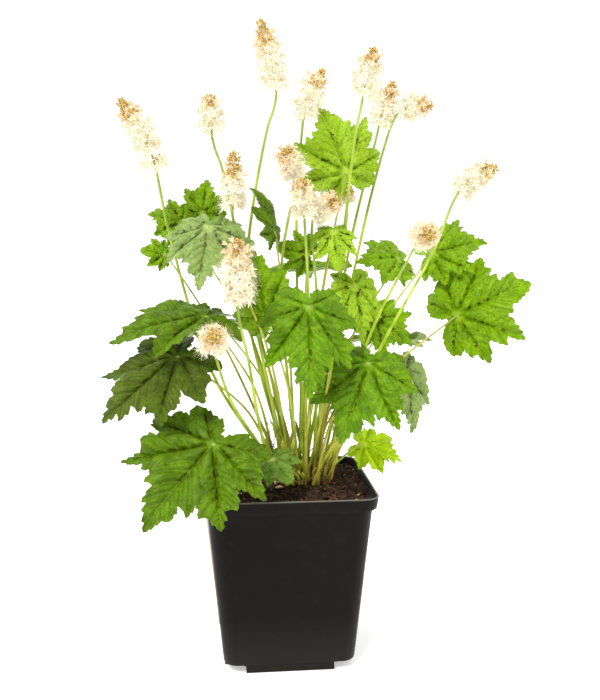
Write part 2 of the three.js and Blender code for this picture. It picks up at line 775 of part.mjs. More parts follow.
const potFinish = finish(0x231f1b, 0.45);
const labelFinish = finish(0xd9ccb0, 0.8);
const soilFinish = finish(0x3a2a1f, 1);
const leafFinish = finish(0x5f8f24, 0.6);
const stemFinish = finish(0xa8b84a, 0.6);
const flowerFinish = finish(0xf3ecd6, 0.7);

const plant = new THREE.Group();

function place(name, geometry, material) {
  const mesh = new THREE.Mesh(geometry, material);
  mesh.name = name;
  plant.add(mesh);
  return mesh;
}

const holes = [
  ...LEAVES.map((leaf) => holeFor(leaf.crown, STALK_FOOT_RADIUS)),
  ...RACEMES.map((raceme) => holeFor(raceme.crown, STEM_FOOT_RADIUS)),
];
place("pot", potGeometry(), potFinish);
place("soil", soilGeometry(holes), soilFinish);

const label = place("pot_label", labelGeometry(), labelFinish);
const taper = Math.atan2(BODY_TOP_HALF - BODY_FOOT_HALF, POT_HEIGHT - RIM_HEIGHT - FOOT_HEIGHT);
const labelAway = (CLEARANCE + LABEL_THICKNESS / 2) / Math.cos(taper);
label.position.set(-potBodyHalf(LABEL_MIDDLE_Z) - labelAway, 0, LABEL_MIDDLE_Z);
label.rotation.y = -taper;

const number = (k) => String(k + 1).padStart(2, "0");
LEAVES.forEach((leaf, k) => {
  place(`leaf_${number(k)}`, leafGeometry(leaf, seededDraws(LEAF_SEED + k)), leafFinish);
});
RACEMES.forEach((raceme, k) => {
  place(`flower_stem_${number(k)}`, stemGeometry(raceme), stemFinish);
  place(`flower_head_${number(k)}`, headGeometry(raceme.head, seededDraws(HEAD_SEED + k)), flowerFinish);
});

export default plant;
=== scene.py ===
"""A foamflower in a square nursery pot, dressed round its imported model.

Sizes are in millimetres until a mesh is made. The solids' own values are repeated here, so that
each piece stands where its solid is: the pot, its label, the soil, leaves on their stalks,
flowering stems and flower heads.
"""
import json
import logging
import math
from collections.abc import Iterable, Sequence
from dataclasses import dataclass
from enum import Enum

import bmesh
import bpy
import numpy as np
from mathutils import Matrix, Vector
from mathutils.geometry import delaunay_2d_cdt

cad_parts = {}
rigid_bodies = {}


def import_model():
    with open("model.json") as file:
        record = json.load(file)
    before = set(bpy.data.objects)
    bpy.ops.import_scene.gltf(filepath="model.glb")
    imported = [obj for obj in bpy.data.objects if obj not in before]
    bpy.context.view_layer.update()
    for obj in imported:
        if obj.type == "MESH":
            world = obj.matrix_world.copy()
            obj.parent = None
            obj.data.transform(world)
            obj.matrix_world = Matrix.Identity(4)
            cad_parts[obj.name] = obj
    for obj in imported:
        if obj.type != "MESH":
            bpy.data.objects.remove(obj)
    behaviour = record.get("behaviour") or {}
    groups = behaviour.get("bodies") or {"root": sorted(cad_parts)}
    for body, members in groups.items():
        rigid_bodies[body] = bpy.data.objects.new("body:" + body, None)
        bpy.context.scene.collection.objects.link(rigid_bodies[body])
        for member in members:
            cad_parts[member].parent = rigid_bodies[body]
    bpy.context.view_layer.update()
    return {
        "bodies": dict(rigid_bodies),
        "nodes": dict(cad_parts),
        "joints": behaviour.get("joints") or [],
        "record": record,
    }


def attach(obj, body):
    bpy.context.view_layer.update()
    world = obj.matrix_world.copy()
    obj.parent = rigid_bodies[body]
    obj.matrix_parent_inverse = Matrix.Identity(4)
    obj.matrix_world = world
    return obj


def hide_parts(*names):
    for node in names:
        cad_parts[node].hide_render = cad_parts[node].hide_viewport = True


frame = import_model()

LOG = logging.getLogger("foamflower")
MM = 0.001
UP = np.array([0.0, 0.0, 1.0])
GOLDEN_ANGLE = 137.5
BARE_FOOT = 20.0
BODY = "root"

# The solids' own seeds, then the seeds of what is drawn here alone
LEAF_SEED, HEAD_SEED = 100, 500
TILT_SEED, WARM_SEED, FRINGE_SEED = 700, 300, 900

# Where each finish stands in a leaf's, stem's or head's list of materials
UPPER, UNDERSIDE, STALK = 0, 1, 2
PETAL, ANTHER, BUD = 0, 1, 3

Pair = tuple[float, float]
Point = tuple[float, float, float]

# How light spreads in the green parts
GREEN_TISSUE = {
    "IOR": 1.42,
    "Subsurface Weight": 0.2,
    "Subsurface Radius": (0.5, 1.0, 0.15),
    "Subsurface Scale": 1.0 * MM,
}


def linear(hex_colour: str) -> tuple[float, float, float, float]:
    """Turns an sRGB hex colour to the linear one that shaders take.

    Args:
        hex_colour: The colour as #rrggbb.

    Returns:
        Red, green and blue from 0 to 1, and full alpha.
    """
    shares = [int(hex_colour[k : k + 2], 16) / 255 for k in (1, 3, 5)]
    red, green, blue = (c / 12.92 if c <= 0.04045 else ((c + 0.055) / 1.055) ** 2.4 for c in shares)
    return red, green, blue, 1.0


def add_node(
    tree: bpy.types.NodeTree, kind: str, inputs: dict[str | int, object] | None = None, **settings: object
) -> bpy.types.Node:
    """Adds a node with its settings and links.

    Args:
        tree: The material's node tree.
        kind: The node's type.
        inputs: A value, a socket or a node for each input. A node gives its first enabled output.
        settings: Values of the node's own properties.

    Returns:
        The node.
    """
    node = tree.nodes.new(kind)
    for name, value in settings.items():
        setattr(node, name, value)
    for name, value in (inputs or {}).items():
        if isinstance(value, bpy.types.Node):
            value = next(output for output in value.outputs if output.enabled)
        if isinstance(value, bpy.types.NodeSocket):
            tree.links.new(value, node.inputs[name])
        else:
            node.inputs[name].default_value = value
    return node


def put(name: str, data: bpy.types.ID) -> bpy.types.Object:
    """Puts a new object with its mesh, camera or light in the scene."""
    thing = bpy.data.objects.new(name, data)
    bpy.context.scene.collection.objects.link(thing)
    return thing


class Shader:
    """One material in the making, whose nodes read where each point of the object lies."""

    def __init__(self, name: str) -> None:
        """Starts the material.

        Args:
            name: Its name.
        """
        self.material = bpy.data.materials.new(name)
        self.material.use_nodes = True
        self.tree = self.material.node_tree
        self.tree.nodes.clear()
        self.where = add_node(self.tree, "ShaderNodeTexCoord").outputs["Object"]

    def stored(self, *names: str) -> list[bpy.types.NodeSocket]:
        """Reads values that the mesh stores for its points."""
        nodes = [add_node(self.tree, "ShaderNodeAttribute", attribute_name=name) for name in names]
        return [node.outputs["Fac"] for node in nodes]

    def noise(
        self, size_mm: float, detail: float = 2.0, roughness: float = 0.5, where: object = None
    ) -> bpy.types.Node:
        """Makes a noise.

        Args:
            size_mm: About how far its lumps lie apart.
            detail: How many finer layers it has.
            roughness: How strong the finer layers are.
            where: The places to read it at, if they aren't the points' own.

        Returns:
            The node.
        """
        inputs = {"Vector": where or self.where, "Scale": 1 / (size_mm * MM)}
        return add_node(self.tree, "ShaderNodeTexNoise", {**inputs, "Detail": detail, "Roughness": roughness})

    def net(self, size_mm: float) -> bpy.types.Node:
        """Makes the distance to the edges of a net of irregular cells."""
        inputs = {"Vector": self.where, "Scale": 1 / (size_mm * MM)}
        return add_node(self.tree, "ShaderNodeTexVoronoi", inputs, feature="DISTANCE_TO_EDGE")

    def levels(
        self,
        source: object,
        low: float,
        high: float,
        at_low: float = 0.0,
        at_high: float = 1.0,
        smooth: bool = False,
    ) -> bpy.types.Node:
        """Turns the range of a value to another one and cuts off what lies beyond it.

        Args:
            source: The value's node or socket.
            low: Where the range starts.
            high: Where it ends.
            at_low: The result up to low.
            at_high: The result from high on.
            smooth: Whether the result starts and ends gently.

        Returns:
            The node.
        """
        inputs = dict(enumerate((source, low, high, at_low, at_high)))
        kind = "SMOOTHSTEP" if smooth else "LINEAR"
        return add_node(self.tree, "ShaderNodeMapRange", inputs, interpolation_type=kind)

    def math(self, operation: str, *values: object) -> bpy.types.Node:
        """Works out one operation on values, sockets or nodes."""
        return add_node(self.tree, "ShaderNodeMath", dict(enumerate(values)), operation=operation)

    def layered(self, base: str, *layers: tuple[object, str]) -> bpy.types.Node:
        """Lays colours over a base, each by a share that covers what is below it.

        Args:
            base: The lowest colour, as #rrggbb.
            layers: Each layer's share, as a value or a node, and its colour.

        Returns:
            The node that gives the last colour.
        """
        colour = linear(base)
        for share, over in layers:
            inputs = {"Factor": share, 6: colour, 7: linear(over)}
            colour = add_node(self.tree, "ShaderNodeMix", inputs, data_type="RGBA")
        return colour

    def bump(
        self, height: object, strength: float, depth_mm: float, under: bpy.types.Node | None = None
    ) -> bpy.types.Node:
        """Makes a relief.

        Args:
            height: Its height, as a node.
            strength: How strongly it shows.
            depth_mm: How deep it is where the height goes from 0 to 1.
            under: A coarser or finer relief that it lies on.

        Returns:
            The node.
        """
        inputs = {"Height": height, "Strength": strength, "Distance": depth_mm * MM}
        return add_node(self.tree, "ShaderNodeBump", {**inputs, **({"Normal": under} if under else {})})

    def end(self, colour: object, roughness: object, inputs: dict[str, object]) -> bpy.types.Material:
        """Ends the material with one Principled shader.

        Args:
            colour: Its colour, as a value or a node.
            roughness: Its roughness, as a value or a node.
            inputs: The shader's other values and links.

        Returns:
            The material.
        """
        inputs = {"Base Color": colour, "Roughness": roughness, **inputs}
        surface = add_node(self.tree, "ShaderNodeBsdfPrincipled", inputs)
        add_node(self.tree, "ShaderNodeOutputMaterial", {"Surface": surface})
        return self.material


class Draws:
    """The solids' own seeded draws from 0 to 1, so that a piece grows as its solid did."""

    def __init__(self, seed: int) -> None:
        """Starts the draws at a seed."""
        self.state = seed

    def next(self) -> float:
        """Returns the next draw."""
        self.state = (self.state * 1664525 + 1013904223) % 2**32
        return self.state / 2**32

    def spread(self, width: float) -> float:
        """Returns the next draw, as a number from minus half of width to plus half."""
        return width * (self.next() - 0.5)


def unit(vectors: np.ndarray) -> np.ndarray:
    """Returns the vectors, each scaled to length 1."""
    return vectors / np.maximum(np.linalg.norm(vectors, axis=-1, keepdims=True), 1e-12)


def lumps(points: np.ndarray, size: float, seed: int) -> np.ndarray:
    """Smooth random lumps over space.

    Args:
        points: Where to read them, as rows of 2 or 3 numbers.
        size: The distance from one lump to the next.
        seed: Another seed gives other lumps.

    Returns:
        A height from -1 to 1 for each point.
    """
    cells = np.floor(points / size)
    inside = points / size - cells
    inside = inside * inside * (3 - 2 * inside)
    cells = cells.astype(np.int64)
    dims = points.shape[1]
    total = np.zeros(len(points))
    primes = np.array([73856093, 19349663, 83492791])[:dims]
    for corner in range(2**dims):
        step = np.array([(corner >> axis) & 1 for axis in range(dims)])
        mixed = ((cells + step) * primes).sum(axis=1) + seed * 2654435761
        mixed = (mixed ^ (mixed >> 13)) * 1274126177 & 0xFFFFFFFF
        mixed = (mixed ^ (mixed >> 16)) * 2246822519 & 0xFFFFFFFF
        weight = np.where(step == 1, inside, 1 - inside).prod(axis=1)
        total += weight * (mixed % 65536 / 32767.5 - 1)
    return total


def away_from(
    points: np.ndarray, starts: np.ndarray, ends: np.ndarray
) -> tuple[np.ndarray, np.ndarray, np.ndarray]:
    """Finds the nearest of many straight pieces of line.

    Args:
        points: Rows of 2 numbers.
        starts: Where each piece starts.
        ends: Where each piece ends.

    Returns:
        For each point its distance, the nearest piece's index, and the share of that piece.
    """
    span = ends - starts
    reach = np.maximum((span**2).sum(axis=1), 1e-12)
    share = ((points[:, None] - starts) * span).sum(axis=2) / reach
    share = np.clip(share, 0, 1)
    gaps = np.linalg.norm(points[:, None] - starts - share[..., None] * span, axis=2)
    nearest = gaps.argmin(axis=1)
    rows = np.arange(len(points))
    return gaps[rows, nearest], nearest, share[rows, nearest]


@dataclass
class Shape:
    """A closed surface: its points, and its faces as four corners, or three and -1."""

    points: np.ndarray
    faces: np.ndarray

    def copies(self, turns: np.ndarray, places: np.ndarray) -> "Shape":
        """Makes a copy of the shape at each place.

        Args:
            turns: A 3 by 3 turn and scale for each copy.
            places: Each copy's place.

        Returns:
            All the copies as one shape, in order.
        """
        points = np.einsum("mij,nj->mni", turns, self.points) + places[:, None]
        steps = np.arange(len(places))[:, None, None] * len(self.points)
        faces = np.where(self.faces >= 0, self.faces + steps, -1)
        return Shape(points.reshape(-1, 3), faces.reshape(-1, 4))


def loft(rings: np.ndarray, first: np.ndarray, last: np.ndarray) -> Shape:
    """Closes a skin over rings of points that run counter-clockwise seen from the last one.

    Args:
        rings: Points by ring and side.
        first: The point that closes the first ring.
        last: The point that closes the last ring.

    Returns:
        The closed shape: the rings' points, then first and last.
    """
    count, sides = rings.shape[:2]
    a = np.arange(count - 1)[:, None] * sides + np.arange(sides)
    b = np.arange(count - 1)[:, None] * sides + (np.arange(sides) + 1) % sides
    walls = np.stack([a, b, b + sides, a + sides], axis=-1).reshape(-1, 4)
    here = np.arange(sides)
    beyond = (here + 1) % sides
    poles = count * sides
    none = np.full(sides, -1)
    foot = np.stack([np.full(sides, poles), beyond, here, none], axis=-1)
    top = (count - 1) * sides
    head = np.stack([np.full(sides, poles + 1), top + here, top + beyond, none], axis=-1)
    return Shape(np.vstack([rings.reshape(-1, 3), first, last]), np.vstack([walls, foot, head]))


class Path:
    """A smooth line, walked by the share of its length."""

    def __init__(self, dense: np.ndarray) -> None:
        """Takes the line as many points close together."""
        self.dense = dense
        steps = np.linalg.norm(np.diff(dense, axis=0), axis=1)
        self.run = np.concatenate([[0.0], np.cumsum(steps)])
        self.length = float(self.run[-1])

    @classmethod
    def through(cls, knots: Sequence[np.ndarray]) -> "Path":
        """Runs a centripetal Catmull-Rom curve through knots, as the solids' stalks do.

        Args:
            knots: The points that it runs through.

        Returns:
            The curve.
        """
        knots = np.array(knots, float)
        knots = np.vstack([2 * knots[0] - knots[1], knots, 2 * knots[-1] - knots[-2]])
        times = np.linspace(0, 1, 40, endpoint=False)[:, None]
        runs = []
        for before, start, end, after in zip(knots, knots[1:], knots[2:], knots[3:]):
            spans = (start - before, end - start, after - end)
            a, b, c = (max(np.linalg.norm(span), 1e-6) ** 0.5 for span in spans)
            leave = (spans[0] / a - (end - before) / (a + b) + spans[1] / b) * b
            arrive = (spans[1] / b - (after - start) / (b + c) + spans[2] / c) * b
            square = 3 * (end - start) - 2 * leave - arrive
            cube = 2 * (start - end) + leave + arrive
            runs.append(start + leave * times + square * times**2 + cube * times**3)
        return cls(np.vstack([*runs, knots[-2]]))

    @classmethod
    def bend(cls, foot: np.ndarray, control: np.ndarray, tip: np.ndarray) -> "Path":
        """Runs one even bend from foot to tip, drawn towards control."""
        t = np.linspace(0, 1, 120)[:, None]
        return cls((1 - t) ** 2 * foot + 2 * t * (1 - t) * control + t**2 * tip)

    def at(self, shares: np.ndarray) -> np.ndarray:
        """Returns the point at each share of the length."""
        run = np.asarray(shares, float) * self.length
        return np.stack([np.interp(run, self.run, self.dense[:, axis]) for axis in range(3)], axis=-1)

    def frames(self, shares: np.ndarray, normal: np.ndarray) -> tuple[np.ndarray, np.ndarray, np.ndarray]:
        """Carries a cross-section along the line with no twist.

        Args:
            shares: Where to read it, in rising order.
            normal: Roughly the first normal.

        Returns:
            The tangents, normals and binormals.
        """
        step = 0.5 / len(self.dense)
        tangents = unit(self.at(np.clip(shares + step, 0, 1)) - self.at(np.clip(shares - step, 0, 1)))
        normals = np.empty_like(tangents)
        for k, tangent in enumerate(tangents):
            normal = unit(normal - tangent * (normal @ tangent))
            normals[k] = normal
        return tangents, normals, np.cross(tangents, normals)

    def tube(self, shares: np.ndarray, radii: np.ndarray, sides: int) -> Shape:
        """Builds a round rod along the line.

        Args:
            shares: Where its rings are.
            radii: Each ring's radius.
            sides: How many sides it has.

        Returns:
            The closed rod.
        """
        centres = self.at(shares)
        tangents, normals, binormals = self.frames(shares, np.array([1.0, 0.0, 0.0]))
        cos, sin = circle(sides)[:, :2].T[..., None]
        across = normals[:, None] * cos + binormals[:, None] * sin
        rings = centres[:, None] + across * np.asarray(radii)[:, None, None]
        first = centres[0] - tangents[0] * radii[0] * 0.5
        last = centres[-1] + tangents[-1] * radii[-1] * 0.5
        return loft(rings, first, last)


def standing(ways: np.ndarray, spins: np.ndarray, sizes: np.ndarray) -> np.ndarray:
    """Turns a shape that was made along +Z so that it points another way.

    Args:
        ways: The way that each copy points.
        spins: How far each copy turns round its own axis, in radians.
        sizes: Each copy's scale.

    Returns:
        A 3 by 3 turn and scale for each copy.
    """
    ways = unit(ways)
    side = np.where(np.abs(ways[:, 2:]) > 0.9, [1.0, 0.0, 0.0], UP)
    across = unit(np.cross(side, ways))
    beyond = np.cross(ways, across)
    cos, sin = np.cos(spins)[:, None], np.sin(spins)[:, None]
    turned = np.stack([across * cos + beyond * sin, beyond * cos - across * sin, ways], axis=-1)
    return turned * np.asarray(sizes)[:, None, None]


def circle(sides: int) -> np.ndarray:
    """Returns points round a level circle of radius 1, counter-clockwise seen from above."""
    angles = np.arange(sides) * 2 * math.pi / sides
    return np.column_stack([np.cos(angles), np.sin(angles), np.zeros(sides)])


def stood(shape: Shape, way: np.ndarray, spin: float, size: float, place: np.ndarray) -> Shape:
    """Returns one copy of a shape that was made along +Z.

    Args:
        shape: The shape.
        way: The way that the copy points.
        spin: How far it turns round its own axis, in radians.
        size: Its scale.
        place: Where the shape's origin comes.

    Returns:
        The copy.
    """
    turns = standing(way[None], np.array([spin]), np.array([size]))
    return shape.copies(turns, np.asarray(place, float)[None])


def ridge(size: Pair, away: np.ndarray) -> np.ndarray:
    """Returns a rounded ridge's height at each distance from its crest, by its height and width."""
    height, width = size
    return height * np.exp(-((away / width) ** 2))


class Piece:
    """Gathers closed shapes in millimetres into one named piece of the object."""

    def __init__(self, name: str, slot: str, finishes: Sequence[bpy.types.Material]) -> None:
        """Starts a piece with its name, the record's slot and its materials.

        Args:
            name: Its name.
            slot: The record's slot.
            finishes: Its materials.
        """
        self.name = name
        self.slot = slot
        self.finishes = finishes
        self.points: list[np.ndarray] = []
        self.faces: list[np.ndarray] = []
        self.materials: list[np.ndarray] = []
        self.values: list[dict[str, object]] = []
        self.count = 0

    def add(self, shape: Shape, material: int | np.ndarray = 0, **values: float | np.ndarray) -> None:
        """Adds a closed shape.

        Args:
            shape: The shape.
            material: Which of the piece's materials it has, or one for each face.
            values: Numbers for the materials to read, one for all or one for each point.
        """
        self.points.append(shape.points)
        self.faces.append(np.where(shape.faces >= 0, shape.faces + self.count, -1))
        self.materials.append(np.broadcast_to(material, len(shape.faces)))
        self.values.append({"count": len(shape.points), **values})
        self.count += len(shape.points)

    def mesh(self) -> bpy.types.Mesh:
        """Makes the mesh, in metres, with the values as attributes of its points.

        Returns:
            The mesh.
        """
        points = np.vstack(self.points) * MM
        faces = np.vstack(self.faces)
        sizes = np.where(faces[:, 3] >= 0, 4, 3)
        corners = faces[faces >= 0]
        mesh = bpy.data.meshes.new(self.name)
        mesh.vertices.add(len(points))
        mesh.vertices.foreach_set("co", points.astype(np.float32).ravel())
        mesh.loops.add(len(corners))
        mesh.loops.foreach_set("vertex_index", corners.astype(np.int32))
        mesh.polygons.add(len(faces))
        mesh.polygons.foreach_set("loop_start", (np.cumsum(sizes) - sizes).astype(np.int32))
        mesh.polygons.foreach_set("material_index", np.concatenate(self.materials).astype(np.int32))
        names = sorted({name for values in self.values for name in values} - {"count"})
        for name in names:
            whole = [np.broadcast_to(values.get(name, 0.0), values["count"]) for values in self.values]
            layer = mesh.attributes.new(name, "FLOAT", "POINT")
            layer.data.foreach_set("value", np.concatenate(whole).astype(np.float32))
        mesh.update(calc_edges=True)
        mesh.shade_smooth()
        return mesh

    def place(self, *nodes: str, sharp: float = 55.0) -> bpy.types.Object:
        """Puts the piece in the scene, on the object's one body.

        Args:
            nodes: The solids that it stands for.
            sharp: The angle in degrees from which an edge is a sharp one.

        Returns:
            The Blender object.
        """
        mesh = self.mesh()
        mesh.set_sharp_from_angle(angle=math.radians(sharp))
        for finish in self.finishes:
            mesh.materials.append(finish)
        thing = put(self.name, mesh)
        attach(thing, BODY)
        if nodes:
            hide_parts(*nodes)
        LOG.info("%s: %d points, %d faces", self.name, len(mesh.vertices), len(mesh.polygons))
        return thing


@dataclass(frozen=True)
class MouldedPolypropylene:
    """Injection-moulded black polypropylene: satin, with a fine orange-peel skin and soil dust."""

    body: str = "#0a0704"
    dust: str = "#211b15"
    splash: str = "#1e1b16"
    painted_rim_highlight: str = "#8a8478"
    roughness: float = 0.46
    peel_mm: float = 0.9
    dust_mm: float = 9.0
    rim_top_mm: float = 115.0

    def material(self) -> bpy.types.Material:
        """Makes the material: nearly black, duller where dust lies, with a faint peel and a painted highlight
        along the rim's top edge.

        Returns:
            The material.
        """
        shader = Shader("moulded_polypropylene")
        height = add_node(shader.tree, "ShaderNodeSeparateXYZ", {0: shader.where}).outputs["Z"]
        top = self.rim_top_mm * MM
        dust = shader.noise(self.dust_mm, 6.0)
        dusty = shader.levels(dust, 0.5, 0.8, 0.02, 0.3, smooth=True)
        low = shader.levels(height, 10 * MM, 38 * MM, 0.9, 0.0)
        # Painted highlight: a thin light line along the rim's top edge, where the light catches it
        edge = shader.levels(height, top - 0.9 * MM, top - 0.2 * MM, 0.0, 0.5)
        colour = shader.layered(self.body, (dusty, self.dust), (low, self.splash), (edge, self.painted_rim_highlight))
        dull = shader.levels(dust, 0.35, 0.75, self.roughness, 0.6)
        # A real peel of about 0.3 mm wouldn't show, so it is drawn at 0.9 mm
        peel = shader.bump(shader.noise(self.peel_mm), 0.12, 0.2)
        skin = {"Specular IOR Level": 0.1, "Sheen Weight": 0.4, "Sheen Roughness": 0.24}
        return shader.end(colour, dull, {"Normal": peel, "IOR": 1.49, **skin})


@dataclass(frozen=True)
class LabelPaper:
    """Uncoated cream label paper: matt, with faint fibres and a little soil rubbed in."""

    paper: str = "#c4b8a0"
    rubbed: str = "#9c8c70"
    fibre_mm: float = 1.5
    rub_mm: float = 14.0

    def material(self) -> bpy.types.Material:
        """Makes the material: cream with fibres and soft rubbed patches.

        Returns:
            The material.
        """
        shader = Shader("label_paper")
        rub = shader.levels(shader.noise(self.rub_mm, 5.0), 0.5, 0.8, 0.0, 0.6, smooth=True)
        fibres = shader.bump(shader.noise(self.fibre_mm, 4.0), 0.15, 0.2)
        colour = shader.layered(self.paper, (rub, self.rubbed))
        return shader.end(colour, 0.85, {"Normal": fibres, "IOR": 1.5})


@dataclass(frozen=True)
class GrowingMedium:
    """Damp peat and bark compost: nearly black crumbs with rust-brown bark flecks, quite matt."""

    name: str = "peat"
    damp_and_shade: str = "#120b05"
    crumb: str = "#332110"
    fleck: str = "#553719"
    crumb_mm: float = 1.6
    fleck_mm: float = 3.4
    roughness: float = 0.9

    def material(self) -> bpy.types.Material:
        """Makes the material: crumbs and flecks by noise, with painted shade that darkens it where the
        surface dips.

        Returns:
            The material.
        """
        shader = Shader(self.name)
        crumbs, flecks = shader.noise(self.crumb_mm, 8.0), shader.noise(self.fleck_mm, 3.0)
        # Painted shade: the crumbs' noise also makes the bumps, so the colour goes dark where the surface
        # dips
        lit = shader.levels(crumbs, 0.4, 0.68, smooth=True)
        rusty = shader.levels(flecks, 0.52, 0.66, 0.0, 0.75, smooth=True)
        colour = shader.layered(self.damp_and_shade, (lit, self.crumb), (rusty, self.fleck))
        surface = {"Normal": shader.bump(crumbs, 0.6, 1.0), "Specular IOR Level": 0.3}
        return shader.end(colour, self.roughness, surface)


@dataclass(frozen=True)
class LivingLeaf:
    """A foamflower's blade: thin grown tissue, downy satin above, with dark patches on its veins.

    Light comes through it, so it glows a little. The patches are purple-brown pigment that lies in
    dashes along each main vein, and as small dots on the side veins. The ranges are millimetres
    from a vein, the rim or the joint, shares of a main vein, or levels of a noise.
    """

    name: str
    blade: str
    lit: str
    vein: str
    patch: str = "#302a10"
    joint: str = "#b4c878"
    rim: str = "#3c4c0c"
    patching: float = 1.0
    down: float = 0.04
    roughness: float = 0.42
    mottle_mm: float = 9.0
    dash_mm: float = 3.2
    dot_mm: float = 1.7
    net_mm: float = 2.2
    skin_mm: float = 0.8
    quilt_mm: float = 2.4

    def material(self) -> bpy.types.Material:
        """Makes the upper side's material from the blade's distances to its veins and rim.

        Returns:
            The material.
        """
        shader = Shader(self.name)
        names = ("vein_away", "vein_share", "side_away", "rim_away", "joint_away")
        main_away, along, side_away, rim_away, joint_away = shader.stored(*names)
        mottle = shader.noise(self.mottle_mm, 5.0, 0.72)
        dashes = shader.noise(self.dash_mm, 3.0, 0.6)
        dots, skin = shader.noise(self.dot_mm, 1.0), shader.noise(self.skin_mm)
        # The fine net of veins is real at about 1 mm, and drawn at 2.2 mm so that it shows
        net = shader.net(self.net_mm)
        netted = shader.levels(net, 0.0, 0.16, 0.5, 0.0)
        side_line = shader.levels(side_away, 0.1, 0.5, 0.1, 0.0)
        main_line = shader.levels(main_away, 0.15, 0.6, 0.8, 0.0)
        faded = shader.levels(along, 0.1, 0.45, 1.0, 0.15)
        rim_line = shader.levels(rim_away, 0.05, 0.4, 0.25, 0.0)
        near_side = shader.levels(side_away, 0.4, 1.3, 0.7, 0.0)
        wide = shader.levels(dashes, 0.46, 0.62, -1.0, 1.7)
        light = shader.levels(mottle, 0.36, 0.64, smooth=True)
        dash = shader.levels(shader.math("SUBTRACT", wide, main_away), -0.3, 0.3, smooth=True)
        begun = shader.levels(along, 0.08, 0.18, smooth=True)
        ended = shader.levels(along, 0.62, 0.88, 1.0, 0.0, smooth=True)
        speck = shader.levels(dots, 0.61, 0.68, smooth=True)
        pale = shader.levels(joint_away, 0.3, 1.8, 0.5, 0.0, smooth=True)
        nearest = shader.math("MINIMUM", main_away, side_away)
        quilt = shader.levels(nearest, 0.0, self.quilt_mm, smooth=True)
        dash = shader.math("MULTIPLY", shader.math("MULTIPLY", dash, begun), ended)
        speck = shader.math("MULTIPLY", shader.math("MULTIPLY", speck, near_side), ended)
        dark = shader.math("MULTIPLY", shader.math("MAXIMUM", dash, speck), self.patching)
        colour = shader.layered(
            self.blade,
            (light, self.lit),
            (netted, self.blade),
            (side_line, self.vein),
            (dark, self.patch),
            (shader.math("MULTIPLY", main_line, faded), self.vein),
            (pale, self.joint),
            (rim_line, self.rim),
        )
        grain = shader.bump(shader.math("ADD", net, skin), 0.35, 0.4)
        surface = {"Normal": shader.bump(quilt, 0.9, 1.3, grain), "Specular IOR Level": 0.16}
        sheen = {"Sheen Weight": self.down, "Sheen Roughness": 0.4}
        return shader.end(colour, self.roughness, {**surface, **GREEN_TISSUE, **sheen})


@dataclass(frozen=True)
class LeafUnderside:
    """The blade's lower side: pale grey-green and matt, because its down and air scatter light."""

    name: str
    blade: str
    vein: str = "#a4b474"
    net_mm: float = 2.4

    def material(self) -> bpy.types.Material:
        """Makes the lower side's material, whose raised veins are paler.

        Returns:
            The material.
        """
        shader = Shader(self.name)
        main_away, side_away = shader.stored("vein_away", "side_away")
        net = shader.net(self.net_mm)
        main_line = shader.levels(main_away, 0.3, 1.0, 0.9, 0.0)
        side_line = shader.levels(side_away, 0.2, 0.7, 0.6, 0.0)
        netted = shader.levels(net, 0.0, 0.12, 0.15, 0.0)
        line = shader.math("MAXIMUM", shader.math("MAXIMUM", main_line, side_line), netted)
        colour = shader.layered(self.blade, (line, self.vein))
        surface = {"Normal": shader.bump(net, 0.3, -0.4), "Specular IOR Level": 0.2, "Sheen Weight": 0.1}
        return shader.end(colour, 0.65, {**surface, **GREEN_TISSUE})


@dataclass(frozen=True)
class FreshStalk:
    """A living stalk: yellow-green and satin, flushed red-brown at its foot, finely grooved."""

    name: str = "fresh_stalk"
    foot: str = "#7c4a22"
    shaft: str = "#86a41c"
    lit: str = "#b4c640"
    warmer: str = "#b89a40"
    sage: str = "#8c9c5c"
    streak_mm: float = 6.0

    def material(self) -> bpy.types.Material:
        """Makes the material from the height along the stalk and long streaks.

        Returns:
            The material.
        """
        shader = Shader(self.name)
        rise, warm = shader.stored("rise", "warm")
        drawn_out = add_node(shader.tree, "ShaderNodeMapping", {0: shader.where, "Scale": (1.0, 1.0, 0.15)})
        streaks = shader.noise(self.streak_mm, 4.0, where=drawn_out)
        light = shader.levels(streaks, 0.38, 0.62, smooth=True)
        high = shader.levels(rise, 0.7, 1.0, 0.0, 0.55)
        loosened = shader.math("MULTIPLY_ADD", streaks, 0.35, rise)
        flush = shader.levels(loosened, 0.24, 0.4, 0.85, 0.0, smooth=True)
        layers = ((light, self.lit), (warm, self.warmer), (high, self.sage), (flush, self.foot))
        surface = {"Normal": shader.bump(streaks, 0.3, 0.3), "Specular IOR Level": 0.3}
        tissue = {**GREEN_TISSUE, "Subsurface Radius": (0.8, 1.0, 0.3)}
        return shader.end(shader.layered(self.shaft, *layers), 0.45, {**surface, **tissue})


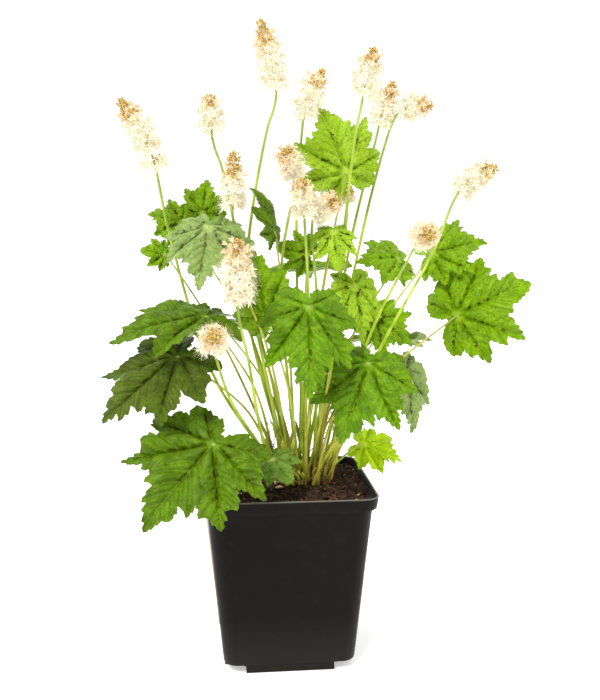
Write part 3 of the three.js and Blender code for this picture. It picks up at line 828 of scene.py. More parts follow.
@dataclass(frozen=True)
class FlowerTissue:
    """Petals, sepals and buds: thin white tissue, cream when open and peach in bud, that may get a painted
    glow.
    """

    name: str
    opened: str
    budded: str
    foot: str
    tip: str
    glow: float = 0.0
    roughness: float = 0.55
    mottle_mm: float = 2.5

    def material(self) -> bpy.types.Material:
        """Makes the material from each floret's age and the reach from its own foot.

        Returns:
            The material.
        """
        shader = Shader(self.name)
        youth, reach = shader.stored("youth", "reach")
        mottle = shader.noise(self.mottle_mm, 3.0)
        varied = shader.math("MULTIPLY_ADD", shader.math("ADD", mottle, -0.5), 0.5, youth)
        young = shader.levels(varied, 0.1, 0.9, smooth=True)
        low = shader.levels(reach, 0.0, 0.35, 0.8, 0.0, smooth=True)
        high = shader.math("MULTIPLY", shader.levels(reach, 0.6, 0.95, smooth=True), young)
        colour = shader.layered(self.opened, (young, self.budded), (low, self.foot), (high, self.tip))
        radii = (1.0, 0.9, 0.6)
        depth = {"Subsurface Weight": 0.15, "Subsurface Radius": radii, "Subsurface Scale": 0.5 * MM}
        # Painted glow: a weak emission in the open colour that lifts the shade among the florets, in place of
        # light passing through thin petals
        glow = {"Emission Color": linear(self.opened), "Emission Strength": self.glow}
        surface = {"Normal": shader.bump(mottle, 0.2, 0.3), "IOR": 1.4, "Specular IOR Level": 0.3}
        return shader.end(colour, self.roughness, {**surface, **depth, **glow})


@dataclass(frozen=True)
class DryMatter:
    """Old stalks, bark, fibres and grit: dry and matt, mottled between two near colours."""

    name: str
    dark: str
    pale: str
    grain_mm: float
    roughness: float = 0.9

    def material(self) -> bpy.types.Material:
        """Makes the material: two colours that mix along a noise, with a rough surface.

        Returns:
            The material.
        """
        shader = Shader(self.name)
        grain, (shade,) = shader.noise(self.grain_mm, 6.0), shader.stored("shade")
        share = shader.levels(shader.math("ADD", grain, shade), 0.4, 1.4, smooth=True)
        surface = {"Normal": shader.bump(grain, 0.5, 0.5), "Specular IOR Level": 0.3}
        return shader.end(shader.layered(self.dark, (share, self.pale)), self.roughness, surface)


class LeafTone(Enum):
    """The blades' tones: the shaded, lit and vein colours, and how strong patches and down are."""

    DEEP = ("#3f5108", "#53680f", "#617426", 0.7, 0.06)
    MATURE = ("#466103", "#5e8006", "#6a861a", 0.75, 0.0)
    OPEN = ("#4e7202", "#6c9608", "#76941c", 0.75, 0.0)
    FRESH = ("#608402", "#7aa204", "#86a81c", 0.9, 0.0)
    BRIGHT = ("#7ea013", "#98ba29", "#a2c23a", 0.9, 0.0)
    GREY = ("#6e8740", "#8fa45a", "#98aa62", 0.8, 0.14)
    YOUNG = ("#527019", "#708c33", "#7c963e", 0.3, 0.08)
    YELLOW = ("#a8cc06", "#c6e612", "#cce82c", 0.1, 0.0)

    def finishes(self) -> tuple[bpy.types.Material, bpy.types.Material]:
        """Makes the upper and lower materials of a blade of this tone.

        Returns:
            The upper side's material and the lower side's.
        """
        blade, lit, vein, patching, down = self.value
        word = self.name.lower()
        upper = LivingLeaf(f"leaf_{word}", blade, lit, vein, patching=patching, down=down)
        under = "#84983a" if self in (LeafTone.BRIGHT, LeafTone.YELLOW) else "#71854a"
        return upper.material(), LeafUnderside(f"leaf_{word}_underside", under).material()


@dataclass(frozen=True)
class Crown:
    """The plant's middle: rings of places in the heaped soil that the stalks rise from."""

    x: float = 12.0
    y: float = -4.0
    squash: float = 0.8
    rings: tuple[Pair, ...] = ((0, 1), (8, 6), (16, 12), (25, 24))
    edge_z: float = 110.0
    heap_height: float = 5.0
    heap_spread: float = 24.0
    gather: float = 0.72
    stalk_depth: float = 12.7

    def soil_height(self, x: np.ndarray, y: np.ndarray) -> np.ndarray:
        """Returns the height of the solid's soil at each place."""
        away = (x - self.x) ** 2 + (y - self.y) ** 2
        heap = self.heap_height * np.exp(-away / (2 * self.heap_spread**2))
        broad = 0.9 * np.sin(0.21 * x + 1) * np.sin(0.27 * y + 2)
        return self.edge_z + heap + broad + 0.5 * np.sin(0.5 * x - 0.4 * y)

    def place(self, ring: int, place: int) -> np.ndarray:
        """Returns where the stalk at one place of one ring comes out of the soil.

        The stalks huddle closer than their solids, whose holes need room between them.

        Args:
            ring: The ring's number.
            place: The place's number in it.

        Returns:
            The point on the soil.
        """
        radius, places = self.rings[ring]
        radius = radius * self.gather
        angle = 2 * math.pi * (place + 0.3 * math.sin(7.0 * place + ring)) / places
        x = self.x + radius * math.cos(angle)
        y = self.y + radius * self.squash * math.sin(angle)
        return np.array([x, y, float(self.soil_height(x, y))])

    def stalk_path(
        self, mouth: np.ndarray, by: Iterable[np.ndarray], end: np.ndarray, way: np.ndarray
    ) -> Path:
        """Runs a stalk straight up out of the soil, by some points, and in along a way at its end."""
        foot = mouth - self.stalk_depth * UP
        return Path.through([foot, mouth, mouth + 4 * UP, *by, end - 8 * unit(way), end])


CROWN = Crown()


@dataclass(frozen=True)
class LeafPlan:
    """Where one leaf stands, as its solid has it, and its tone."""

    crown: tuple[int, int]
    joint: Point
    tip: Point
    face: Point
    tone: LeafTone
    by: Point | None = None
    wide: float = 1.0
    fold: float = 0.1
    droop: float = 0.5
    young: bool = False


Finishes = dict[LeafTone, tuple[bpy.types.Material, bpy.types.Material]]
DEEP, MATURE, OPEN, FRESH, BRIGHT, GREY, YOUNG, YELLOW = LeafTone
LEAVES = (
    LeafPlan((3, 16), (-47, -56, 152), (-88, -78, 107), (-0.2, -0.75, 0.6), MATURE, by=(-18, -26, 140)),
    LeafPlan((3, 13), (-68, -34, 202), (-114, -52, 163), (-0.3, -0.75, 0.55), DEEP, wide=0.72, fold=0.25),
    LeafPlan((3, 12), (-50, -22, 225), (-109, -30, 211), (-0.1, -0.42, 0.9), MATURE, wide=0.75, fold=0.15),
    LeafPlan((3, 10), (-76, 3, 262), (-92, 1, 265), (0, -0.9, 0.4), FRESH, by=(-38, 16, 200), young=True),
    LeafPlan((3, 9), (-66, 22, 282), (-87, 25, 288), (0, -0.8, 0.6), FRESH, wide=1.2),
    LeafPlan((3, 8), (-52, 34, 288), (-48, 38, 311), (0, -0.85, 0.5), FRESH, by=(-14, 28, 205)),
    LeafPlan((2, 7), (-48, -18, 280), (-55, -36, 243), (-0.1, -0.85, 0.5), GREY, fold=0.3),
    LeafPlan((1, 3), (-6, -4, 276), (-22, -2, 303), (0.75, -0.4, 0.5), MATURE, wide=0.8, young=True),
    LeafPlan((2, 8), (-12, -14, 223), (-22, -8, 269), (-0.3, -0.9, 0.2), FRESH, wide=0.7),
    LeafPlan((3, 5), (43, 24, 315), (26, 32, 358), (0, -0.85, 0.5), BRIGHT),
    LeafPlan((0, 0), (17, 16, 261), (-5, 15, 267), (0, -1, 0.15), FRESH, young=True),
    LeafPlan((1, 5), (31, -7, 277), (33, -18, 251), (0, -0.95, 0.3), BRIGHT, wide=0.8, fold=0.3, young=True),
    LeafPlan((3, 18), (11, -44, 232), (9, -66, 178), (0.05, -0.9, 0.4), OPEN, wide=0.78, fold=0.25),
    LeafPlan((2, 11), (45, -2, 242), (50, -12, 205), (0.3, -0.85, 0.4), BRIGHT, wide=0.75),
    LeafPlan((3, 20), (49, -35, 196), (30, -54, 149), (-0.3, -0.9, 0.35), OPEN, wide=0.9, fold=0.3),
    LeafPlan((3, 17), (-11, -36, 137), (1, -46, 123), (0, -0.8, 0.6), YOUNG, wide=1.1, young=True),
    LeafPlan((3, 23), (82, 12, 184), (86, 4, 142), (0.4, -0.8, 0.4), GREY, wide=0.7),
    LeafPlan((2, 1), (80, 26, 258), (48, 18, 255), (0, -0.7, 0.7), FRESH),
    LeafPlan((3, 0), (100, 15, 262), (136, 10, 270), (0, -0.8, 0.6), FRESH),
    LeafPlan((3, 22), (112, -6, 222), (160, -12, 244), (0, -0.85, 0.5), FRESH),
    LeafPlan((3, 1), (60, 2, 220), (84, 0, 202), (0.2, -0.95, 0.3), FRESH),
    LeafPlan((3, 2), (57, 26, 130), (84, 22, 119), (0, -0.6, 0.8), YELLOW, droop=0.3),
    LeafPlan((3, 3), (72, 52, 205), (108, 78, 190), (0.3, 0.4, 0.85), MATURE),
    LeafPlan((3, 6), (20, 50, 255), (26, 95, 240), (0, 0.5, 0.85), FRESH),
    LeafPlan((3, 7), (-42, 50, 215), (-78, 82, 190), (-0.3, 0.4, 0.85), DEEP),
)


def mirrored(places: Sequence[Pair]) -> tuple[Pair, ...]:
    """Returns places of the outline on the blade's other side, in the reverse order."""
    return tuple((-angle, reach) for angle, reach in reversed(places))


@dataclass(frozen=True)
class Lobe:
    """One lobe of a flat blade: its vein's bend and its rim, each point as angle and reach."""

    bend: Pair
    rim: tuple[Pair, ...]


@dataclass
class LeafOutline:
    """A palmate blade laid flat, with its length as 1: rim, teeth, main veins and side veins.

    The lobes, clefts and notch are places as the solid has them, in degrees and reach.
    """

    young: bool
    wide: float
    seed: int
    tooth_step: float
    tooth_height: float = 0.3
    tooth_varies: Pair = (0.75, 1.25)
    tooth_crest: Pair = (0.78, 0.92)
    bow: float = 0.04
    step_depth: float = 0.14
    main_edge: tuple[Pair, ...] = ((6, 0.82), (12, 0.83), (15, 0.69), (22, 0.72))
    side_lobes: tuple[tuple[int, tuple[Pair, ...]], ...] = (
        (43, ((31, 0.71), (36, 0.69), (43, 0.83), (49, 0.68), (56, 0.69))),
        (84, ((71, 0.57), (84, 0.66), (91, 0.53), (99, 0.53))),
        (126, ((114, 0.47), (127, 0.51), (139, 0.41), (158, 0.27))),
    )
    young_edge: tuple[Pair, ...] = ((12, 0.82),)
    young_lobes: tuple[tuple[int, tuple[Pair, ...]], ...] = (
        (43, ((43, 0.83),)),
        (84, ((84, 0.66),)),
        (126, ((130, 0.5),)),
    )
    cleft_places: tuple[Pair, ...] = ((27, 0.56), (64, 0.46), (107, 0.4))
    notch_place: Pair = (180, 0.06)
    vein_reach: float = 0.4
    vein_end: float = 0.975
    angle_spread: float = 4.0
    reach_spread: float = 0.1
    side_angle: float = 46.0
    side_closing: float = 2.5
    side_varies: float = 4.0
    side_share: float = 0.9
    side_curve: float = 0.18
    least_side: float = 0.04

    def __post_init__(self) -> None:
        """Draws the coarse outline as the solid did, then its teeth and veins."""
        draws = Draws(self.seed)
        self.random = np.random.default_rng(self.seed)
        edge = self.young_edge if self.young else self.main_edge
        sides = self.young_lobes if self.young else self.side_lobes
        plans = [(-vein, mirrored(rim)) for vein, rim in reversed(sides)]
        plans += [(0, (*mirrored(edge), (0, 1), *edge)), *sides]
        notch = self.drawn(draws, self.notch_place)
        clefts = [self.drawn(draws, place) for place in (*mirrored(self.cleft_places), *self.cleft_places)]
        self.gaps = [notch, *clefts, notch]
        self.lobes = []
        for vein, rim in plans:
            bend = self.drawn(draws, (vein, self.vein_reach))
            self.lobes.append(Lobe(bend, tuple(self.drawn(draws, place) for place in rim)))
        self.rim = np.array([point for k, lobe in enumerate(self.lobes) for point in self.toothed(k, lobe)])
        self.main_veins = [self.main_vein(lobe) for lobe in self.lobes]
        self.side_veins = [vein for k in range(len(self.lobes)) for vein in self.side_veins_of(k)]

    def drawn(self, draws: Draws, place: Pair) -> Pair:
        """Returns a place of the outline, in radians and reach, moved by the solid's draws."""
        angle, reach = place
        turned = math.radians(angle + draws.spread(self.angle_spread))
        return turned, reach * (1 + draws.spread(self.reach_spread))

    def flat(self, place: Pair) -> np.ndarray:
        """Returns a place along and across the blade."""
        angle, reach = place
        return np.array([reach * math.cos(angle), reach * math.sin(angle) * self.wide])

    def toothed(self, k: int, lobe: Lobe) -> list[np.ndarray]:
        """Runs round a lobe from one cleft to the next, with teeth that point to its tip.

        Args:
            k: The lobe's number.
            lobe: The lobe.

        Returns:
            The rim's points, without the last one.
        """
        places = (self.gaps[k], *lobe.rim, self.gaps[k + 1])
        chain = [self.flat(place) for place in places]
        tip = max(range(len(places)), key=lambda j: places[j][1])
        points = []
        for j in range(len(chain) - 1):
            low, high = (j, j + 1) if j < tip else (j + 1, j)
            rises = places[high][1] > places[low][1] + 0.01
            run = self.teeth if rises else self.step_in
            edge = run(chain[low], chain[high], j < tip)
            points += edge if j < tip else [chain[j], *reversed(edge[1:])]
        return points

    def teeth(self, start: np.ndarray, end: np.ndarray, forward: bool) -> list[np.ndarray]:
        """Cuts saw teeth along one piece of the rim that runs out to a point of the lobe.

        Args:
            start: Its inner end.
            end: Its outer end, which is the last tooth's point.
            forward: Whether start to end runs counter-clockwise round the blade.

        Returns:
            The points from start, without end.
        """
        span = end - start
        length = float(np.linalg.norm(span))
        out = np.array([span[1], -span[0]]) / length * (1 if forward else -1)
        count = max(1, round(length / self.tooth_step))
        step = length / count
        points = []
        for k in range(count):
            height = step * self.tooth_height * self.random.uniform(*self.tooth_varies)
            crest = self.random.uniform(*self.tooth_crest)
            cuts = [(0, 0), (0.45, 0.62), (crest, 1.0)] if k < count - 1 else [(0, 0), (0.5, 0.55)]
            for share, rise in cuts:
                along = (k + share) / count
                bow = self.bow * length * 4 * along * (1 - along)
                points.append(start + span * along + out * (height * rise + bow))
        return points

    def step_in(self, start: np.ndarray, end: np.ndarray, forward: bool) -> list[np.ndarray]:
        """Runs the rim in behind a point of the lobe, a little hollow, with no teeth."""
        span = end - start
        out = np.array([span[1], -span[0]]) * (1 if forward else -1)
        return [start, start + span * 0.5 - out * self.step_depth]

    def main_vein(self, lobe: Lobe) -> np.ndarray:
        """Runs a vein from the joint to just inside the lobe's tip."""
        tip = self.flat(max(lobe.rim, key=lambda place: place[1])) * self.vein_end
        bend = self.flat(lobe.bend)
        t = np.linspace(0, 1, 17)[:, None]
        return 2 * t * (1 - t) * bend + t**2 * tip

    def side_veins_of(self, k: int) -> list[np.ndarray]:
        """Branches side veins off one main vein, out to the teeth.

        Args:
            k: The main vein's number.

        Returns:
            The side veins.
        """
        vein = self.main_veins[k]
        walls = np.vstack([self.rim, self.flat(self.gaps[k]), self.flat(self.gaps[k + 1])])
        ends = np.vstack([np.roll(self.rim, -1, axis=0), np.zeros((2, 2))])
        veins = []
        for number, index in enumerate((4, 6, 8, 10, 12, 14)):
            start = vein[index]
            ahead = unit(vein[index + 1] - vein[index - 1])
            for side in (-1, 1):
                varied = self.side_angle - self.side_closing * number
                varied += self.random.uniform(-self.side_varies, self.side_varies)
                turn = math.radians(side * varied)
                cos, sin = math.cos(turn), math.sin(turn)
                way = np.array([ahead[0] * cos - ahead[1] * sin, ahead[0] * sin + ahead[1] * cos])
                length = self.clear_run(start, way, walls, ends) * self.side_share
                if length < self.least_side:
                    continue
                t = np.linspace(0, 1, 7)[:, None]
                veins.append(start + way * length * t + ahead * (t - 1) * t * self.side_curve * length)
        return veins

    def rim_gap(self, points: np.ndarray) -> np.ndarray:
        """Returns each point's distance from the rim."""
        return away_from(points, self.rim, np.roll(self.rim, -1, axis=0))[0]

    @staticmethod
    def gap_to(lines: Sequence[np.ndarray], points: np.ndarray) -> tuple[np.ndarray, np.ndarray, np.ndarray]:
        """Finds the nearest piece of some veins for each point, as away_from does."""
        starts = np.vstack([line[:-1] for line in lines])
        ends = np.vstack([line[1:] for line in lines])
        return away_from(points, starts, ends)

    @staticmethod
    def clear_run(start: np.ndarray, way: np.ndarray, walls: np.ndarray, ends: np.ndarray) -> float:
        """Returns how far a line runs from start along way before it meets a wall.

        Args:
            start: Where the line starts.
            way: The way that it runs.
            walls: Where each wall starts.
            ends: Where each wall ends.

        Returns:
            The distance, or 0 where it meets none.
        """
        span = ends - walls
        cross = way[0] * span[:, 1] - way[1] * span[:, 0]
        cross = np.where(np.abs(cross) < 1e-9, 1e-9, cross)
        gap = walls - start
        run = (gap[:, 0] * span[:, 1] - gap[:, 1] * span[:, 0]) / cross
        share = (gap[:, 0] * way[1] - gap[:, 1] * way[0]) / cross
        hits = run[(share >= 0) & (share <= 1) & (run > 0.01)]
        return float(hits.min()) if len(hits) else 0.0


@dataclass
class FoamflowerLeaf:
    """One leaf: a thin veined blade of toothed lobes at the end of a downy stalk.

    Each pair is a height and a width, but lobe_tilt is a range. The lobes and waves are shares of
    the blade's length, and the other sizes are in millimetres.
    """

    number: int
    plan: LeafPlan
    thickness: float = 0.5
    rim_thickness: float = 0.26
    tooth_mm: float = 2.6
    least_tooth: float = 0.075
    mesh_step: float = 1.7
    coarsest_step: float = 0.055
    rail_gap: float = 0.9
    lobe_height: float = 0.038
    lobe_tilt: Pair = (-0.08, 0.06)
    broad_wave: Pair = (0.036, 0.3)
    rim_wave: Pair = (0.04, 0.13)
    main_groove: Pair = (0.36, 0.9)
    side_groove: Pair = (0.16, 0.7)
    pillow: Pair = (0.55, 2.2)
    lump: Pair = (0.4, 5.0)
    main_rib: Pair = (0.42, 0.7)
    side_rib: Pair = (0.16, 0.5)
    stalk_swell: Pair = (0.4, 9.0)
    foot_radius: float = 1.1
    top_radius: float = 0.55
    stalk_sides: int = 8
    stalk_rings: int = 36
    hair: Pair = (0.9, 0.07)

    def __post_init__(self) -> None:
        """Sets the blade out between its joint and its tip."""
        plan = self.plan
        size = math.dist(plan.joint, plan.tip)
        tooth = max(self.least_tooth, self.tooth_mm / size)
        self.outline = LeafOutline(plan.young, plan.wide, LEAF_SEED + self.number, tooth)
        self.joint = np.array(plan.joint, float)
        chord = self.bent(np.array([[1.0, 0.0, -0.08]]))[0]
        span = np.array(plan.tip) - self.joint
        self.lean = math.atan2(chord[2], chord[0])
        self.scale = float(np.linalg.norm(span) / np.linalg.norm(chord))
        self.ahead = unit(span)
        face = np.array(plan.face, float)
        self.up = unit(face - self.ahead * (face @ self.ahead))
        self.aside = np.cross(self.up, self.ahead)

    def bent(self, flat: np.ndarray) -> np.ndarray:
        """Bends a flat blade's points down along the midrib.

        Args:
            flat: The flat points.

        Returns:
            The bent ones.
        """
        along, across, above = flat.T
        droop = self.plan.droop
        turn = droop * along
        x = np.sin(turn) / droop + above * np.sin(turn)
        z = -(1 - np.cos(turn)) / droop + above * np.cos(turn)
        return np.stack([x, across, z], axis=-1)

    def placed(self, flat: np.ndarray) -> np.ndarray:
        """Puts a flat blade's points in their place in the object.

        Args:
            flat: The flat points.

        Returns:
            The points in the object.
        """
        x, y, z = self.bent(flat).T
        along = x * math.cos(self.lean) + z * math.sin(self.lean)
        above = z * math.cos(self.lean) - x * math.sin(self.lean)
        moved = along[:, None] * self.ahead + y[:, None] * self.aside + above[:, None] * self.up
        return self.joint + self.scale * moved

    def triangulated(self) -> tuple[np.ndarray, np.ndarray]:
        """Fills the outline with even triangles whose sides run along the veins.

        Returns:
            The flat points, and the triangles counter-clockwise.
        """
        outline = self.outline
        step = min(self.mesh_step / self.scale, self.coarsest_step)
        rim = outline.rim
        lines = [*outline.main_veins, *outline.side_veins]
        beside = []
        for vein in outline.main_veins:
            ahead = unit(np.gradient(vein, axis=0))
            away = np.stack([-ahead[:, 1], ahead[:, 0]], axis=-1) * self.rail_gap / self.scale
            beside += [(vein + away)[3:-1], (vein - away)[3:-1]]
        low, high = rim.min(axis=0), rim.max(axis=0)
        rows = np.arange(low[1], high[1], step * 0.866)
        grid = []
        for k, y in enumerate(rows):
            grid += [(x, y) for x in np.arange(low[0] + (k % 2) * step / 2, high[0], step)]
        grid, rails = np.array(grid), np.vstack(beside)
        clear = outline.gap_to(lines, grid)[0] > 0.55 * step
        clear &= outline.rim_gap(grid) > 0.5 * step
        rails = rails[outline.rim_gap(rails) > 0.4 * step]
        coords = [rim, *lines, rails, grid[clear]]
        edges = [(k, (k + 1) % len(rim)) for k in range(len(rim))]
        count = len(rim)
        for line in lines:
            edges += [(count + k, count + k + 1) for k in range(len(line) - 1)]
            count += len(line)
        vertices = [Vector(point) for point in np.vstack(coords)]
        found = delaunay_2d_cdt(vertices, edges, [list(range(len(rim)))], 1, 1e-5)
        points = np.array([tuple(point) for point in found[0]])
        triangles = np.array([face for face in found[2] if len(face) == 3])
        a, b, c = (points[triangles[:, k]] for k in range(3))
        area = (b[:, 0] - a[:, 0]) * (c[:, 1] - a[:, 1]) - (b[:, 1] - a[:, 1]) * (c[:, 0] - a[:, 0])
        triangles[area < 0] = triangles[area < 0][:, ::-1]
        triangles = triangles[np.abs(area) > 1e-9]
        used, inverse = np.unique(triangles, return_inverse=True)
        return points[used], inverse.reshape(-1, 3)

    def fields(self, points: np.ndarray) -> dict[str, np.ndarray]:
        """Measures each flat point from the veins, the rim and the joint, in millimetres.

        Args:
            points: The flat points.

        Returns:
            Each measure by its name.
        """
        outline = self.outline
        per_vein = len(outline.main_veins[0]) - 1
        main_away, nearest, share = outline.gap_to(outline.main_veins, points)
        return {
            "vein_away": main_away * self.scale,
            "vein_share": (nearest % per_vein + share) / per_vein,
            "side_away": outline.gap_to(outline.side_veins, points)[0] * self.scale,
            "rim_away": outline.rim_gap(points) * self.scale,
            "joint_away": np.linalg.norm(points, axis=1) * self.scale,
        }

    def heights(self, points: np.ndarray, fields: dict[str, np.ndarray]) -> np.ndarray:
        """Raises the flat blade: lobes that dip along their veins, grooves, pillows and a waved rim.

        Args:
            points: The flat points.
            fields: Their distances, in millimetres.

        Returns:
            Each point's height, with the blade's length as 1.
        """
        plan, outline = self.plan, self.outline
        reach = np.hypot(points[:, 0], points[:, 1] / plan.wide)
        angle = np.arctan2(points[:, 1] / plan.wide, points[:, 0])
        knots = [(-math.pi, 1.0), (math.pi, 1.0)]
        knots += [(lobe.bend[0], 0.0) for lobe in outline.lobes]
        knots += [(gap[0], 1.0) for gap in outline.gaps[1:-1]]
        turns, levels = np.array(sorted(knots)).T
        cleft = np.interp(angle, turns, levels)
        cleft = cleft * (2 - cleft)
        lift = self.lobe_height * cleft * np.minimum(reach / 0.56, 1)
        sink = self.lobe_height * (1 - cleft) * np.sin(math.pi * np.minimum(reach / 0.85, 1))
        turned = np.random.default_rng(TILT_SEED + self.number).uniform(*self.lobe_tilt, len(outline.lobes))
        turned[len(turned) // 2] = 0.0
        tilt = np.interp(angle, [lobe.bend[0] for lobe in outline.lobes], turned)
        tilt = tilt * np.maximum(reach - 0.25, 0)
        across = np.abs(points[:, 1])
        folded = np.sqrt(across**2 + 0.03**2) - 0.03
        height = lift - sink + tilt - plan.fold * folded - 0.08 * reach**2
        groove = ridge(self.main_groove, fields["vein_away"]) + ridge(self.side_groove, fields["side_away"])
        inside = np.minimum(fields["rim_away"] / 3, 1) * np.minimum(fields["vein_away"] / 3, 1)
        (rise, width), (lump, gap) = self.pillow, self.lump
        pillow = rise * np.minimum(fields["side_away"] / width, 1) * inside
        pillow += lump * lumps(points * self.scale, gap, self.number + 90) * inside
        (broad, long), (wave, short) = self.broad_wave, self.rim_wave
        height += broad * lumps(points, long, self.number) * np.minimum(reach / 0.5, 1)
        waves = wave * lumps(points, short, self.number + 50) * np.exp(-fields["rim_away"] / 5)
        return height + waves * np.minimum(reach / 0.4, 1) + (pillow - groove) / self.scale

    def blade(self, piece: Piece) -> None:
        """Adds the blade to the piece: two skins with the same triangles, joined round the rim.

        Args:
            piece: The piece to add it to.
        """
        points, triangles = self.triangulated()
        fields = self.fields(points)
        heights = self.heights(points, fields)
        middle = self.placed(np.column_stack([points, heights]))
        a, b, c = (middle[triangles[:, k]] for k in range(3))
        normals = np.zeros_like(middle)
        for k in range(3):
            np.add.at(normals, triangles[:, k], np.cross(b - a, c - a))
        normals = unit(normals)
        thicker = (self.thickness - self.rim_thickness) * np.minimum(fields["rim_away"] / 2, 1)
        thin = self.rim_thickness + thicker
        ribs = ridge(self.main_rib, fields["vein_away"]) * (1 - fields["vein_share"])
        ribs += ridge(self.side_rib, fields["side_away"])
        ribs *= np.minimum(fields["rim_away"] / 1.5, 1)
        upper = middle + normals * thin[:, None] / 2
        lower = middle - normals * (thin / 2 + ribs)[:, None]
        count = len(middle)
        none = np.full(len(triangles), -1)
        top = np.column_stack([triangles, none])
        bottom = np.column_stack([triangles[:, ::-1] + count, none])
        sides = np.vstack([triangles[:, [0, 1]], triangles[:, [1, 2]], triangles[:, [2, 0]]])
        keys = sides[:, 0] * count + sides[:, 1]
        rim = sides[~np.isin(sides[:, 1] * count + sides[:, 0], keys)]
        strip = np.column_stack([rim[:, 1], rim[:, 0], rim[:, 0] + count, rim[:, 1] + count])
        material = np.repeat([UPPER, UNDERSIDE, UPPER], [len(top), len(bottom), len(strip)])
        doubled = {name: np.tile(values, 2) for name, values in fields.items()}
        piece.add(Shape(np.vstack([upper, lower]), np.vstack([top, bottom, strip])), material, **doubled)
        self.add_rim_hairs(piece, (upper + lower)[rim[:, 0]] / 2, normals[rim[:, 0]])

    def add_rim_hairs(self, piece: Piece, places: np.ndarray, normals: np.ndarray) -> None:
        """Adds the short hairs that fringe a foamflower's blade.

        Args:
            piece: The piece to add them to.
            places: Where they stand.
            normals: The blade's normals there.
        """
        random = np.random.default_rng(FRINGE_SEED + self.number)
        ways = unit(places - self.joint) + normals * 0.5 + random.normal(0, 0.25, places.shape)
        turns = standing(ways, np.zeros(len(ways)), random.uniform(0.5, 0.8, len(ways)))
        hairs = downy_hair(*self.hair).copies(turns, places)
        piece.add(hairs, STALK, rise=0.9)

    def stalk(self, piece: Piece) -> None:
        """Adds the stalk, which arches over to the blade and sinks a little at its end.

        Args:
            piece: The piece to add it to.
        """
        mouth = CROWN.place(*self.plan.crown)
        span = self.joint - mouth
        way = unit(span) - np.array([0, 0, 1 / 3])
        by = mouth + span * [0.3, 0.3, 0.55] if self.plan.by is None else np.array(self.plan.by)
        path = CROWN.stalk_path(mouth, [by], self.joint, way)
        shares = np.linspace(0, 1, self.stalk_rings)
        radii = self.foot_radius + (self.top_radius - self.foot_radius) * shares
        swell = ridge(self.stalk_swell, shares * path.length - CROWN.stalk_depth)
        shaft = path.tube(shares, radii + swell, self.stalk_sides)
        rise = np.append(np.repeat(shares, self.stalk_sides), [0, 1])
        warm = np.random.default_rng(WARM_SEED + self.number).uniform(0, 0.9) ** 1.6
        piece.add(shaft, STALK, rise=rise, warm=warm)
        add_down(piece, path, BARE_FOOT / path.length, radii, 1.0, self.hair, self.number)

    def build(self, finishes: Finishes, stalk_finish: bpy.types.Material) -> bpy.types.Object:
        """Builds the leaf in its tone and puts it in place of its solid."""
        piece = Piece(f"foamflower_leaf_{self.number:02d}", "leaf", [*finishes[self.plan.tone], stalk_finish])
        self.blade(piece)
        self.stalk(piece)
        return piece.place(f"leaf_{self.number:02d}")


def downy_hair(length: float, radius: float) -> Shape:
    """Returns a three-sided hair that stands along +Z."""
    points = np.vstack([circle(3) * radius - UP * radius, UP * length])
    return Shape(points, np.array([[0, 1, 3, -1], [1, 2, 3, -1], [2, 0, 3, -1], [2, 1, 0, -1]]))


def add_down(
    piece: Piece,
    path: Path,
    start: float,
    radii: np.ndarray,
    gap: float,
    hair: Pair,
    seed: int,
) -> None:
    """Covers a stalk with fine hairs.

    Args:
        piece: The piece to add them to.
        path: The stalk's middle line.
        start: The share of the stalk's length that is bare at its foot.
        radii: The stalk's radii at even steps.
        gap: The distance from one hair to the next along the stalk, in millimetres.
        hair: A hair's length and its radius at its foot.
        seed: Another seed gives other hairs.
    """
    random = np.random.default_rng(seed)
    count = int(path.length * (1 - start) / gap)
    shares = np.linspace(start, 0.985, count)
    tangents, normals, binormals = path.frames(shares, np.array([1.0, 0.0, 0.0]))
    angles = random.uniform(0, 2 * math.pi, count)[:, None]
    out = normals * np.cos(angles) + binormals * np.sin(angles)
    reach = np.interp(shares, np.linspace(0, 1, len(radii)), radii)[:, None]
    turns = standing(out + tangents * 0.3, angles[:, 0], random.uniform(0.6, 1.1, count))
    hairs = downy_hair(*hair).copies(turns, path.at(shares) + out * reach * 0.9)
    piece.add(hairs, STALK, rise=np.repeat(shares, 4))


@dataclass(frozen=True)
class RacemePlan:
    """One flowering stem and its head, as their solids have them."""

    crown: tuple[int, int]
    by: tuple[Point, ...]
    foot: Point
    tip: Point
    florets: int
    buds: int
    spread: float = 8.6
    whorl: int = 0


